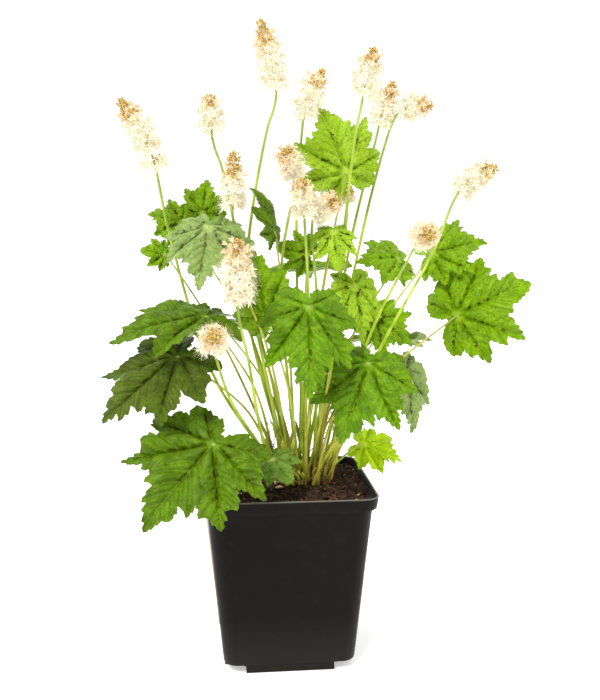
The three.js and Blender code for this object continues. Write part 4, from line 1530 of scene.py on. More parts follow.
RACEMES = (
    RacemePlan((2, 5), ((-24, 10, 232), (-10, 12, 341)), (-4, 10, 363), (-14, 6, 407), 12, 5, 9.4),
    RacemePlan((3, 11), ((-45, 11, 180), (-73, 12, 274)), (-82, 0, 322), (-101, -6, 356), 11, 5, 9.4, 12),
    RacemePlan((2, 4), ((-21, 19, 231), (-39, 22, 318)), (-45, 22, 337), (-46, 24, 363), 8, 3),
    RacemePlan((2, 6), ((-25, 0, 246),), (-33, -4, 287), (-32, -8, 325), 8, 5),
    RacemePlan((3, 15), ((-13, -22, 138), (-26, -46, 203)), (-32, -58, 232), (-32, -64, 272), 16, 4, 10),
    RacemePlan((3, 14), ((-36, -42, 175),), (-46, -52, 208), (-47, -74, 218), 9, 3),
    RacemePlan((2, 3), ((10, 24, 277),), (15, 30, 348), (28, 34, 382), 10, 4, 9.4),
    RacemePlan((1, 2), ((0, 8, 212), (-1, 7, 258)), (7, 8, 309), (0, -8, 327), 9, 3),
    RacemePlan((1, 4), ((14, -12, 235),), (12, -10, 284), (10, -14, 308), 8, 3),
    RacemePlan((2, 10), ((20, -9, 234),), (19, 4, 285), (33, -8, 296), 8, 3),
    RacemePlan((1, 1), ((39, 28, 237),), (46, 36, 294), (43, 36, 312), 2, 6, 5),
    RacemePlan((1, 0), ((36, 8, 245), (46, -2, 343)), (49, -4, 358), (56, -6, 389), 9, 4, 9.4),
    RacemePlan((2, 2), ((49, 40, 269),), (68, 44, 345), (78, 46, 376), 9, 4),
    RacemePlan((3, 4), ((62, 44, 294),), (80, 40, 355), (102, 34, 360), 8, 4),
    RacemePlan((3, 21), ((54, -18, 214),), (80, -30, 271), (82, -52, 274), 10, 3),
    RacemePlan((2, 0), ((64, -13, 209), (98, 0, 265)), (113, 6, 299), (139, 6, 318), 10, 4),
)


@dataclass
class FloretParts:
    """One floret that opens along +Z from its foot at the origin, as shapes to copy."""

    opening: float
    seed: int
    petal_length: float = 5.5
    petal_width: float = 1.1
    sepal_length: float = 3.0
    sepal_width: float = 1.7
    stamen_length: float = 6.6
    stamen_foot: float = 1.7
    thread_radius: float = 0.15
    anther_radius: float = 0.24
    stamens: int = 12

    @staticmethod
    def petal(
        length: float, width: float, angle: float, lean: float, foot: float
    ) -> tuple[Shape, np.ndarray]:
        """Builds one pointed petal that leans out from the floret's axis.

        Args:
            length: Its length.
            width: Its width at the middle.
            angle: Where it stands round the axis.
            lean: How far it leans from the axis at its end, in radians.
            foot: How high on the cup it starts.

        Returns:
            The petal, and the share of its length at each point.
        """
        shares = np.array([0.12, 0.45, 0.75])
        halves = np.array([0.35, 1.0, 0.62]) * width / 2
        lift = np.array([0.3, 0.9, 0.6]) * 0.22
        bend = lean * (0.45 + 0.55 * shares)
        along = shares * length
        out = 0.7 + along * np.sin(bend)
        high = foot + along * np.cos(bend)
        normal_out, normal_high = -np.cos(bend), np.sin(bend)
        rings = np.empty((3, 4, 3))
        for k, (side, rise) in enumerate(((1, 0.0), (0, 1.0), (-1, 0.0), (0, -0.6))):
            rings[:, k, 0] = out + normal_out * lift * rise
            rings[:, k, 1] = side * halves
            rings[:, k, 2] = high + normal_high * lift * rise
        base = np.array([0.5, 0.0, foot - 0.1])
        tip = np.array([0.7 + length * math.sin(lean), 0.0, foot + length * math.cos(lean)])
        shape = loft(rings, base, tip)
        cos, sin = math.cos(angle), math.sin(angle)
        turn = np.array([[cos, -sin, 0], [sin, cos, 0], [0, 0, 1]])
        return Shape(shape.points @ turn.T, shape.faces), np.append(np.repeat(shares, 4), [0, 1])

    def shapes(self) -> list[tuple[Shape, int, np.ndarray]]:
        """Builds the floret's parts.

        Returns:
            Each part with its material's number and its points' reach from the floret's foot.
        """
        random = np.random.default_rng(self.seed)
        parts = []
        spread = 0.35 + 0.95 * self.opening
        for k in range(5):
            turn = 2 * math.pi * k / 5
            lean = spread * random.uniform(0.8, 1.15)
            length = self.petal_length * random.uniform(0.88, 1.1) * (0.6 + 0.4 * self.opening)
            shape, reach = self.petal(length, self.petal_width, turn + random.uniform(-0.15, 0.15), lean, 1.6)
            parts.append((shape, PETAL, reach))
            lean = spread * random.uniform(0.55, 0.85)
            shape, reach = self.petal(self.sepal_length, self.sepal_width, turn + 0.63, lean, 1.3)
            parts.append((shape, PETAL, reach * 0.8))
        cup = np.stack([circle(5) * r + UP * z for r, z in ((0.35, 0.1), (0.85, 1.0), (0.9, 1.8))])
        parts.append((loft(cup, np.zeros(3), UP * 2.3), PETAL, np.full(17, 0.1)))
        for k in range(self.stamens):
            turn = 2 * math.pi * (k + 0.5) / self.stamens
            lean = spread * random.uniform(0.3, 0.85)
            way = np.array([math.sin(lean) * math.cos(turn), math.sin(lean) * math.sin(turn), math.cos(lean)])
            length = self.stamen_length * random.uniform(0.8, 1.1) * (0.45 + 0.55 * self.opening)
            foot = UP * self.stamen_foot
            thread = stood(downy_hair(length, self.thread_radius), way, 0, 1, foot)
            parts.append((thread, PETAL, np.full(4, 0.6)))
            end = way * length * 0.94 + foot
            anther = stood(bud_shape(1.0, 0.5, 3, 1), way, 0, self.anther_radius * 2, end)
            parts.append((anther, ANTHER, np.full(len(anther.points), 0.9)))
        return parts

    def gathered(self) -> tuple[Shape, np.ndarray, np.ndarray]:
        """Joins the parts.

        Returns:
            The whole floret, each face's material and each point's reach.
        """
        parts = self.shapes()
        points = np.vstack([shape.points for shape, _, _ in parts])
        starts = np.cumsum([0] + [len(shape.points) for shape, _, _ in parts])
        faces = [np.where(shape.faces >= 0, shape.faces + at, -1) for (shape, _, _), at in zip(parts, starts)]
        materials = [np.full(len(shape.faces), material) for shape, material, _ in parts]
        reaches = [reach for _, _, reach in parts]
        return Shape(points, np.vstack(faces)), np.concatenate(materials), np.concatenate(reaches)


def bud_shape(length: float, radius: float, sides: int, rows: int) -> Shape:
    """Returns a pointed egg that stands along +Z from the origin.

    Args:
        length: Its length.
        radius: Its largest radius.
        sides: How many sides it has.
        rows: How many rings it has.

    Returns:
        The closed egg.
    """
    shares = np.linspace(0, 1, rows + 2)[1:-1]
    radii = radius * np.sin(math.pi * shares**0.85) ** 0.75
    rings = circle(sides)[None] * radii[:, None, None] + UP * (shares * length)[:, None, None]
    return loft(rings, np.zeros(3), UP * length)


BEAD = bud_shape(1.0, 0.42, 7, 4)
TIP_BUD = bud_shape(1.0, 0.42, 6, 3)
SLAB = bud_shape(1.0, 0.5, 6, 3)
FLORETS = [
    [FloretParts(opening / 3, 10 * opening + seed).gathered() for seed in range(2)] for opening in range(4)
]


@dataclass
class FlowerHead:
    """A foamflower's raceme: open florets below, half-open ones above them and buds at the tip."""

    number: int
    plan: RacemePlan
    stations: int = 40
    per_floret: int = 7
    first_share: float = 0.06
    florets_share: float = 0.91
    rachis_radius: float = 0.7
    rachis_taper: float = 0.65
    tip_buds: int = 7
    pedicel_radius: float = 0.15
    beads_per_mm: float = 3.4
    bead_length: float = 2.9
    bead_cone: float = 6.4
    bead_overlap: float = 0.13

    def __post_init__(self) -> None:
        """Bends the head's axis over from the stem to the tip."""
        foot, tip = np.array(self.plan.foot, float), np.array(self.plan.tip, float)
        span = tip - foot
        self.way = unit(unit(span) + 0.5 * UP)
        self.axis = Path.bend(foot + 0.3 * self.way, foot + self.way * np.linalg.norm(span) / 2, tip)
        self.shares = np.arange(self.stations + 1) / self.stations
        first = self.axis.frames(np.zeros(1), UP)[0][0]
        least = np.eye(3)[np.abs(first).argmin()]
        normal = np.cross(first, np.cross(first, least))
        self.frames = self.axis.frames(self.shares, normal)
        self.random = np.random.default_rng(HEAD_SEED + self.number)

    def seats(self) -> list[Pair]:
        """Lists where the solid's florets stand.

        Returns:
            For each its number along the head and its angle in degrees.
        """
        draws = Draws(HEAD_SEED + self.number)
        found = []
        for k in range(self.plan.florets):
            found.append((float(k), GOLDEN_ANGLE * k + draws.spread(30)))
            # The solid's floret takes a second draw, for its reach
            draws.spread(0.2)
        return found

    def spin(self) -> float:
        """Draws how far a floret or bud turns round its own axis, in radians."""
        return self.random.uniform(0, 6.3)

    def share_of(self, k: float) -> float:
        """Returns the share of the axis where the k-th floret or bud stands."""
        return self.first_share + self.florets_share * k / (self.plan.florets + self.plan.buds - 1)

    def arm(self, k: float, angle: float, lift: float) -> tuple[np.ndarray, np.ndarray]:
        """Returns the point of the axis where an arm starts, and the way that it points.

        Args:
            k: Its number along the head.
            angle: Its angle round the axis, in degrees.
            lift: How much it rises.

        Returns:
            The point and the way.
        """
        share = min(self.share_of(k), 1.0)
        station = round(share * self.stations)
        tangent, normal, binormal = (frame[station] for frame in self.frames)
        turned = math.radians(angle)
        way = unit(normal * math.cos(turned) + binormal * math.sin(turned) + tangent * lift)
        return self.axis.at(np.array([share]))[0], way

    def build(self, finishes: Sequence[bpy.types.Material]) -> bpy.types.Object:
        """Builds the head and puts it in place of its solid.

        Args:
            finishes: The materials of petals, anthers, stalks and buds.

        Returns:
            The head.
        """
        piece = Piece(f"foamflower_head_{self.number:02d}", "flower", finishes)
        radii = self.rachis_radius * (1 - self.rachis_taper * self.shares)
        piece.add(self.axis.tube(self.shares[:13:2], radii[:13:2], 8), STALK, rise=0.9)
        upper = self.axis.tube(self.shares[11::2], radii[11::2] * 0.98, 8)
        piece.add(upper, PETAL, reach=0.2, youth=0.4)
        for k, angle in self.seats():
            self.add_florets(piece, k, angle)
        self.add_beads(piece)
        self.add_tip_buds(piece)
        self.add_whorl(piece)
        return piece.place(f"flower_head_{self.number:02d}", sharp=80.0)

    def add_florets(self, piece: Piece, k: float, angle: float) -> None:
        """Adds a floret where the solid has one, and others between it and the next.

        Args:
            piece: The piece to add them to.
            k: The solid's floret.
            angle: Its angle round the axis, in degrees.
        """
        florets = self.plan.florets
        for extra in range(self.per_floret):
            at = (k + extra / self.per_floret) * (1 + 0.06 * k / florets)
            turn = angle + extra * GOLDEN_ANGLE + self.random.uniform(-15, 15) * (extra > 0)
            grown = at / florets
            youth = float(np.clip((grown - 0.4) / 0.6, 0, 1))
            size = (1 - 0.22 * grown) * (1.0 if extra == 0 else self.random.uniform(0.75, 1.0))
            nearer = (1.0, 0.8, 0.55)[extra % 3] * self.random.uniform(0.92, 1.05)
            profile = 0.84 + 0.24 * math.sin(math.pi * min(grown, 1.0) ** 0.8)
            lift = 0.3 + 0.4 * grown + 0.35 * self.random.uniform(-1, 1) * (extra > 0)
            self.add_floret(piece, at, turn, lift, youth, size, self.plan.spread * profile * nearer)

    def add_floret(
        self, piece: Piece, at: float, turn: float, lift: float, youth: float, scale: float, spread: float
    ) -> None:
        """Adds one floret at the end of its arm.

        Args:
            piece: The piece to add it to.
            at: Its number along the head, which may lie between two.
            turn: Its angle round the axis, in degrees.
            lift: How much its arm rises.
            youth: From 0, open, to 1, still nearly a bud.
            scale: Its size.
            spread: How far its middle stands from the axis.
        """
        start, way = self.arm(at, turn, lift)
        opening = round((1 - 0.7 * youth) * 3)
        floret, materials, reach = FLORETS[opening][int(self.random.integers(2))]
        foot = start + way * max(spread - 3.0 * scale, 0.6)
        piece.add(stood(floret, way, self.spin(), scale, foot), materials, reach=reach, youth=youth)
        self.add_pedicel(piece, start, foot + way * 0.3)

    def add_pedicel(self, piece: Piece, start: np.ndarray, end: np.ndarray) -> None:
        """Adds the thin stalk of a floret or bud."""
        path = Path.bend(start, (start + end) / 2 - UP * 0.25, end)
        shaft = path.tube(np.array([0, 0.5, 1.0]), np.full(3, self.pedicel_radius), 4)
        piece.add(shaft, PETAL, reach=0.2)

    def add_beads(self, piece: Piece) -> None:
        """Adds the cone of round closed buds that stands out of the florets at the head's top.

        Args:
            piece: The piece to add it to.
        """
        first = self.share_of(self.plan.florets) - self.bead_overlap
        zone = (1 - first) * self.axis.length
        count = round(self.beads_per_mm * zone)
        steps = self.plan.florets + self.plan.buds - 1
        for k in range(count):
            share = (k + 0.5) / count
            at = (first + (0.98 - first) * share - self.first_share) / self.florets_share * steps
            start, way = self.arm(at, k * GOLDEN_ANGLE, self.random.uniform(0.25, 0.7))
            length = self.bead_length * (1.08 - 0.42 * share) * self.random.uniform(0.85, 1.12)
            out = self.bead_cone * (1 - 0.5 * share) * self.random.uniform(0.45, 1.1)
            place = start + way * max(out - 0.6 * length, 0.3)
            bead = stood(BEAD, way, self.spin(), length, place)
            piece.add(bead, BUD, reach=BEAD.points[:, 2], youth=0.45 + 0.55 * share)
            self.add_pedicel(piece, start, place + way * 0.2)

    def add_whorl(self, piece: Piece) -> None:
        """Adds the loose whorl of florets and buds that some heads have lower on the stem.

        Args:
            piece: The piece to add it to.
        """
        foot = np.array(self.plan.foot, float)
        down = -unit(0.35 * self.way + unit(foot - np.array(self.plan.by[-1], float)))
        tangent, normal, binormal = (frame[0] for frame in self.frames)
        for k in range(self.plan.whorl):
            turn = math.radians(GOLDEN_ANGLE * k)
            out = normal * math.cos(turn) + binormal * math.sin(turn)
            way = unit(out + tangent * self.random.uniform(-0.1, 0.4))
            start = foot + down * self.random.uniform(0.0, 7.0)
            floret, materials, reach = FLORETS[2 + k % 2][k % 2]
            spin = self.spin()
            end = start + way * self.random.uniform(3.5, 6.5)
            piece.add(stood(floret, way, spin, 1, end), materials, reach=reach, youth=0.2)
            self.add_pedicel(piece, start, end + way * 0.3)
            if k % 3 == 0:
                place = start + unit(way + 0.6 * tangent) * 5.5
                bead = stood(BEAD, way, spin, 2.6, place)
                piece.add(bead, BUD, reach=BEAD.points[:, 2], youth=0.7)
                self.add_pedicel(piece, start, place + way * 0.2)

    def add_tip_buds(self, piece: Piece) -> None:
        """Adds the tightest small buds round the very tip.

        Args:
            piece: The piece to add them to.
        """
        end = self.axis.at(np.array([1.0]))[0]
        tangent, normal, binormal = (frame[-1] for frame in self.frames)
        for k in range(self.tip_buds):
            turn = math.radians(GOLDEN_ANGLE * k)
            lean = 0.25 + 0.16 * k
            way = unit(tangent + (normal * math.cos(turn) + binormal * math.sin(turn)) * lean)
            bud = stood(TIP_BUD, way, 0, 1.9 - 0.06 * k, end - tangent * (0.3 * k) + way * 0.2)
            piece.add(bud, BUD, reach=TIP_BUD.points[:, 2], youth=1.0)


@dataclass
class FloweringStem:
    """A leafless downy stem that carries one head."""

    number: int
    plan: RacemePlan
    foot_radius: float = 1.2
    top_radius: float = 0.8
    sides: int = 8
    rings: int = 44
    hair: Pair = (0.8, 0.06)

    def build(self, finish: bpy.types.Material) -> bpy.types.Object:
        """Builds the stem and puts it in place of its solid.

        Args:
            finish: The stalks' material.

        Returns:
            The stem.
        """
        foot = np.array(self.plan.foot, float)
        way = FlowerHead(self.number, self.plan).way
        by = [np.array(point, float) for point in self.plan.by]
        way = unit(0.35 * way + unit(foot - by[-1]))
        path = CROWN.stalk_path(CROWN.place(*self.plan.crown), by, foot, way)
        shares = np.linspace(0, 1, self.rings)
        radii = self.foot_radius + (self.top_radius - self.foot_radius) * shares
        piece = Piece(f"foamflower_stem_{self.number:02d}", "stem", [finish] * 3)
        rise = np.append(np.repeat(shares, self.sides), [0, 1])
        piece.add(path.tube(shares, radii, self.sides), STALK, rise=rise)
        add_down(piece, path, BARE_FOOT / path.length, radii, 1.1, self.hair, 40 + self.number)
        return piece.place(f"flower_stem_{self.number:02d}")


def rounded_square(half: float, radius: float, z: float, steps: int = 10, straight: int = 6) -> np.ndarray:
    """Walks round a square with round corners, counter-clockwise seen from above.

    Args:
        half: Half its width.
        radius: Its corners' radius.
        z: Its height.
        steps: How many steps each corner takes.
        straight: How many steps each straight side takes.

    Returns:
        The ring's points.
    """
    ring = []
    for corner in range(4):
        middle = (corner + 0.5) * math.pi / 2
        centre = np.sign([math.cos(middle), math.sin(middle)]) * (half - radius)
        for step in range(steps + 1):
            angle = (corner + step / steps) * math.pi / 2
            ring.append(centre + radius * np.array([math.cos(angle), math.sin(angle)]))
        turned = np.array([-centre[1], centre[0]])
        angle = (corner + 1) * math.pi / 2
        beyond = turned + radius * np.array([math.cos(angle), math.sin(angle)])
        last = ring[-1]
        ring += [last + (beyond - last) * step / straight for step in range(1, straight)]
    return np.column_stack([ring, np.full(len(ring), z)])


def cross_outline(half: float, arm: float, notch: float, z: float) -> np.ndarray:
    """Walks round a cross with broad arms, whose inner corners are cut off.

    Args:
        half: Half the cross's width.
        arm: Half an arm's width.
        notch: How much of each inner corner is cut off.
        z: Its height.

    Returns:
        The ring's points.
    """
    quarter = np.array([[half, arm], [arm + notch, arm], [arm, arm + notch], [arm, half]])
    ring = []
    for corner in range(4):
        cos, sin = round(math.cos(corner * math.pi / 2)), round(math.sin(corner * math.pi / 2))
        ring.append(quarter @ np.array([[cos, sin], [-sin, cos]]))
    ring = np.vstack(ring)
    return np.column_stack([ring, np.full(len(ring), z)])


@dataclass
class NurseryPot:
    """The moulded square pot: a tapered body, a rim band, a cross-shaped foot and drain holes."""

    height: float = 115.0
    rim_half: float = 55.0
    rim_lower_half: float = 54.0
    rim_height: float = 8.0
    body_top_half: float = 51.6
    body_foot_half: float = 42.0
    corner_radius: float = 11.0
    wall: float = 1.4
    foot_height: float = 5.0
    foot_half: float = 41.4
    foot_arm: float = 28.0
    foot_notch: float = 5.0
    drain_radius: float = 3.2
    drain_place: float = 35.5

    def body_half(self, z: float) -> float:
        """Returns half the body's width at a height."""
        share = (z - self.foot_height) / (self.height - self.rim_height - self.foot_height)
        return self.body_foot_half + (self.body_top_half - self.body_foot_half) * share

    def outer_rings(self) -> list[np.ndarray]:
        """Returns the outside's rings, from under the floor up to the rounded top of the rim.

        Returns:
            The rings.
        """
        under = self.height - self.rim_height
        radius = self.corner_radius
        profile = [(self.body_foot_half - 1.2, 5.0), (self.body_foot_half - 0.25, 5.35)]
        profile.append((self.body_half(6), 6.2))
        profile += [(self.body_half(z), z) for z in np.linspace(14, under - 1.2, 9)]
        profile += [(self.body_top_half + 0.1, under - 0.6), (self.body_top_half + 0.9, under - 0.3)]
        profile += [(self.rim_lower_half - 0.3, under - 0.1), (self.rim_lower_half, under + 0.4)]
        profile += [(self.rim_lower_half + 0.5, under + 4), (self.rim_half - 0.15, self.height - 0.9)]
        profile += [(self.rim_half - 0.05, self.height - 0.4), (self.rim_half - 0.4, self.height)]
        return [rounded_square(half, radius - max(0, 2 - z / 40), z) for half, z in profile]

    def inner_rings(self) -> list[np.ndarray]:
        """Returns the inside's rings, from the top of the rim down to the floor.

        Returns:
            The rings.
        """
        under = self.height - self.rim_height
        inner = self.corner_radius - self.wall
        top = self.rim_half - self.wall
        profile = [(top + 0.35, self.height), (top, self.height - 0.4), (top - 0.7, under + 3)]
        profile += [(self.rim_lower_half - self.wall, under + 1.4)]
        profile += [(self.body_top_half - self.wall, under - 1.4)]
        profile += [(self.body_half(z) - self.wall, z) for z in (80, 40, 6.4)]
        return [rounded_square(half, inner, z) for half, z in profile]

    def build(self, finish: bpy.types.Material) -> bpy.types.Object:
        """Builds the pot and puts it in place of its solid.

        Args:
            finish: The pot's material.

        Returns:
            The pot.
        """
        rings = np.stack([*self.outer_rings(), *self.inner_rings()])
        shell = loft(rings, UP * self.foot_height, UP * (self.foot_height + self.wall))
        pot = self.loose("nursery_pot_shell", shell)
        top = self.foot_height + self.wall / 2
        feet = [cross_outline(self.foot_half - 0.4, self.foot_arm - 0.4, self.foot_notch, 0.0)]
        feet += [cross_outline(self.foot_half, self.foot_arm, self.foot_notch, z) for z in (0.4, top)]
        self.cut(pot, self.loose("foot", loft(np.stack(feet), np.zeros(3), UP * top)), "UNION")
        inner = (self.foot_half - self.wall, self.foot_arm - self.wall, self.foot_notch)
        low, high = self.wall, self.foot_height + 3
        hollow = loft(np.stack([cross_outline(*inner, z) for z in (low, high)]), UP * low, UP * high)
        self.cut(pot, self.loose("foot_hollow", hollow), "DIFFERENCE")
        for side_x in (-1, 1):
            for side_y in (-1, 1):
                place = np.array([side_x * self.drain_place, side_y * self.drain_place, 0])
                path = Path(place + np.outer([2.0, 9.0], UP))
                drill = path.tube(np.array([0.0, 1.0]), np.full(2, self.drain_radius), 20)
                self.cut(pot, self.loose("drain", drill), "DIFFERENCE")
        mesh = pot.data
        mesh.shade_smooth()
        mesh.set_sharp_from_angle(angle=math.radians(42))
        mesh.materials.append(finish)
        pot.name = "nursery_pot"
        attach(pot, BODY)
        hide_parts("pot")
        LOG.info("nursery_pot: %d faces", len(mesh.polygons))
        return pot

    @staticmethod
    def loose(name: str, shape: Shape) -> bpy.types.Object:
        """Makes a bare object of one shape, to cut or to cut with."""
        piece = Piece(name, "pot", [])
        piece.add(shape)
        return put(name, piece.mesh())

    @staticmethod
    def cut(body: bpy.types.Object, tool: bpy.types.Object, operation: str) -> None:
        """Joins a tool's shape to a body or cuts it away, and removes the tool.

        Args:
            body: The body.
            tool: What joins it or cuts it.
            operation: UNION or DIFFERENCE.
        """
        boolean = body.modifiers.new("cut", "BOOLEAN")
        boolean.object = tool
        boolean.operation = operation
        boolean.solver = "EXACT"
        evaluated = body.evaluated_get(bpy.context.evaluated_depsgraph_get())
        mesh = bpy.data.meshes.new_from_object(evaluated)
        body.modifiers.clear()
        body.data = mesh
        bpy.data.objects.remove(tool)


@dataclass
class PotLabel:
    """A plain cream paper label stuck on the pot's left face, its far edge coming away a little."""

    pot: NurseryPot
    width: float = 60.0
    height: float = 76.0
    middle_z: float = 66.0
    thickness: float = 0.3
    stand_off: float = 0.55
    curl: Pair = (4.0, 1.4)
    columns: int = 25
    rows: int = 31

    def build(self, finish: bpy.types.Material) -> bpy.types.Object:
        """Builds the label and puts it in place of its solid.

        Args:
            finish: The paper's material.

        Returns:
            The label.
        """
        u, v = np.meshgrid(np.linspace(-1, 1, self.columns), np.linspace(-1, 1, self.rows))
        y, z = u.ravel() * self.width / 2, self.middle_z + v.ravel() * self.height / 2
        back_edge = np.clip((-u.ravel() - 0.1) / 1.1, 0, 1) ** 1.5
        middle, more = self.curl
        lift = (middle + more * v.ravel()) * back_edge + 0.06 * lumps(np.column_stack([y, z]), 9, 3)
        wall = -np.array([self.pot.body_half(height) for height in z])
        front = np.column_stack([wall - self.stand_off - lift, -y, z])
        back = front + [self.thickness, 0, 0]
        corner = (np.arange(self.rows - 1)[:, None] * self.columns + np.arange(self.columns - 1)).ravel()
        quads = np.column_stack([corner, corner + 1, corner + self.columns + 1, corner + self.columns])
        count = len(front)
        edge = [*range(self.columns), *range(2 * self.columns - 1, count, self.columns)]
        edge += [*range(count - 2, count - self.columns - 1, -1)]
        edge += [*range(count - 2 * self.columns, 0, -self.columns)]
        here, beyond = np.array(edge), np.roll(edge, -1)
        rim = np.column_stack([beyond, here, here + count, beyond + count])
        piece = Piece("plain_label", "label", [finish])
        piece.add(Shape(np.vstack([front, back]), np.vstack([quads, quads[:, ::-1] + count, rim])))
        return piece.place("pot_label")


@dataclass
class PottingSoil:
    """The compost in the pot: a crumbly heap with bark chips, grit and fibres on it.

    The crumbs are pairs of a height and a size, and the mound is its place, height and spread.
    """

    pot: NurseryPot
    gap: float = 0.35
    foot_z: float = 6.8
    foot_top_z: float = 7.6
    rings: int = 70
    chips: int = 1300
    grains: int = 18
    slivers: int = 34
    largest_sliver: Pair = (-5.0, -19.0)
    largest_size: float = 3.8
    fibres: int = 40
    crumbs: tuple[Pair, ...] = ((1.3, 8.0), (1.1, 3.4), (0.7, 1.5))
    mound: tuple[float, float, float, float] = (33.0, 14.0, 5.5, 12.0)
    seed: int = 7

    def surface(self, x: np.ndarray, y: np.ndarray) -> np.ndarray:
        """Returns the height of the crumbly surface, which sinks a little by the wall.

        Args:
            x: The places' x.
            y: Their y.

        Returns:
            Each place's height.
        """
        places = np.column_stack([x, y])
        near_wall = np.clip(1 - (self.pot.rim_lower_half - np.maximum(np.abs(x), np.abs(y))) / 5, 0, 1)
        crumbs = sum(tall * lumps(places, gap, seed) for seed, (tall, gap) in enumerate(self.crumbs, 1))
        mound_x, mound_y, height, spread = self.mound
        mound = height * np.exp(-((x - mound_x) ** 2 + (y - mound_y) ** 2) / (2 * spread**2))
        return CROWN.soil_height(x, y) + (crumbs + mound) * (1 - 0.6 * near_wall) - 0.8 * near_wall

    def build_fill(self, finish: bpy.types.Material) -> bpy.types.Object:
        """Builds the compost itself and puts it in place of its solid.

        Args:
            finish: The compost's material.

        Returns:
            The compost.
        """
        pot, gap = self.pot, self.pot.wall + self.gap
        under = pot.height - pot.rim_height
        radius = pot.corner_radius - gap
        sizes = {"steps": 14, "straight": 34}
        sides = [(pot.body_half(z) - gap, z) for z in (self.foot_z, 40, 80, under - 1.6)]
        sides += [(pot.rim_lower_half - gap, under + 1.4), (pot.rim_lower_half - gap, CROWN.edge_z - 0.6)]
        rings = [rounded_square(half, radius, z, **sizes) for half, z in sides]
        brim = rings[-1]
        for share in np.linspace(1, 0.02, self.rings):
            ring = brim * [share, share, 1]
            ring[:, 2] = self.surface(ring[:, 0], ring[:, 1])
            rings.append(ring)
        middle = np.zeros(1)
        top = np.array([0, 0, float(self.surface(middle, middle)[0])])
        piece = Piece("potting_compost", "soil", [finish])
        piece.add(loft(np.stack(rings), UP * self.foot_z, top))
        inset = pot.wall + 0.3
        outline = (pot.foot_half - inset, pot.foot_arm - inset, pot.foot_notch)
        foot = np.stack([cross_outline(*outline, z) for z in (inset, self.foot_top_z)])
        piece.add(loft(foot, UP * inset, UP * self.foot_top_z))
        return piece.place("soil", sharp=180.0)

    def spots(self, random: np.random.Generator, count: int, reach: float) -> np.ndarray:
        """Draws places on the surface.

        Args:
            random: The draws.
            count: How many places.
            reach: How far they lie from the middle, to each side.

        Returns:
            The places, on the surface.
        """
        x, y = random.uniform(-reach, reach, (2, count))
        return np.column_stack([x, y, self.surface(x, y)])

    def build_chips(self, finish: bpy.types.Material) -> bpy.types.Object:
        """Builds the bark chips, each a small split slab that lies in the compost.

        Args:
            finish: The bark's material.

        Returns:
            The chips.
        """
        random = np.random.default_rng(self.seed)
        piece = Piece("bark_chips", "soil", [finish])
        for place in self.spots(random, self.chips, 50.0):
            size = 0.7 + 1.9 * random.uniform() ** 2
            form = [0.5, 0.95, random.uniform(1.2, 2.6)]
            chip = self.split_slab(random, place + UP * 0.3 * size, size, form, (0.24, 0.9), 5, [1, 1, 0.35])
            piece.add(chip, shade=random.uniform() ** 2)
        return piece.place(sharp=28.0)

    @staticmethod
    def split_slab(
        random: np.random.Generator,
        place: np.ndarray,
        size: float,
        form: Sequence[float],
        roughness: Pair,
        seed: int,
        level: Sequence[float],
    ) -> Shape:
        """Builds one small slab of split wood or bark that lies in the compost.

        Args:
            random: The draws.
            place: Where its middle lies.
            size: Its size.
            form: Its thickness, width and length for a size of 1.
            roughness: The height and the size of its lumps for a size of 1.
            seed: Another seed gives other lumps.
            level: How strongly its length keeps to each axis.

        Returns:
            The slab.
        """
        height, gap = roughness
        points = (SLAB.points - UP / 2) * form * size
        seeds = (seed, seed + 1, seed + 3)
        points = points + height * size * np.column_stack([lumps(points, gap * size, k) for k in seeds])
        way = random.normal(0, 1, 3) * level
        return stood(Shape(points, SLAB.faces), way, random.uniform(0, 6.3), 1, place)

    def build_slivers(self, finish: bpy.types.Material) -> bpy.types.Object:
        """Builds the few pale slivers of wood, the largest of them in front of the crown.

        Args:
            finish: The wood's material.

        Returns:
            The slivers.
        """
        random = np.random.default_rng(self.seed + 3)
        piece = Piece("wood_slivers", "soil", [finish])
        places = self.spots(random, self.slivers, 48.0)
        places[0] = [*self.largest_sliver, float(self.surface(*self.largest_sliver))]
        for k, place in enumerate(places):
            size = self.largest_size if k == 0 else random.uniform(0.9, 2.0)
            form = [0.45, 0.9, random.uniform(1.4, 2.4)]
            middle = place + UP * 0.35 * size
            sliver = self.split_slab(random, middle, size, form, (0.22, 0.8), 15, [1, 0.5, 0.3])
            piece.add(sliver, shade=1.0 if k == 0 else random.uniform(0.0, 0.8))
        return piece.place(sharp=28.0)

    def build_grains(self, finish: bpy.types.Material) -> bpy.types.Object:
        """Builds the pale grains of perlite.

        Args:
            finish: The perlite's material.

        Returns:
            The grains.
        """
        random = np.random.default_rng(self.seed + 1)
        piece = Piece("perlite_grains", "soil", [finish])
        shape = bud_shape(1.0, 0.5, 8, 5)
        for place in self.spots(random, self.grains, 49.0):
            size = random.uniform(0.6, 1.4)
            points = (shape.points - UP / 2) * size
            points = points + 0.15 * size * lumps(points, 0.5 * size, 9)[:, None]
            grain = stood(Shape(points, shape.faces), random.normal(0, 1, 3), 0, 1, place + UP * 0.4)
            piece.add(grain, shade=random.uniform(0.2, 0.9))
        return piece.place()

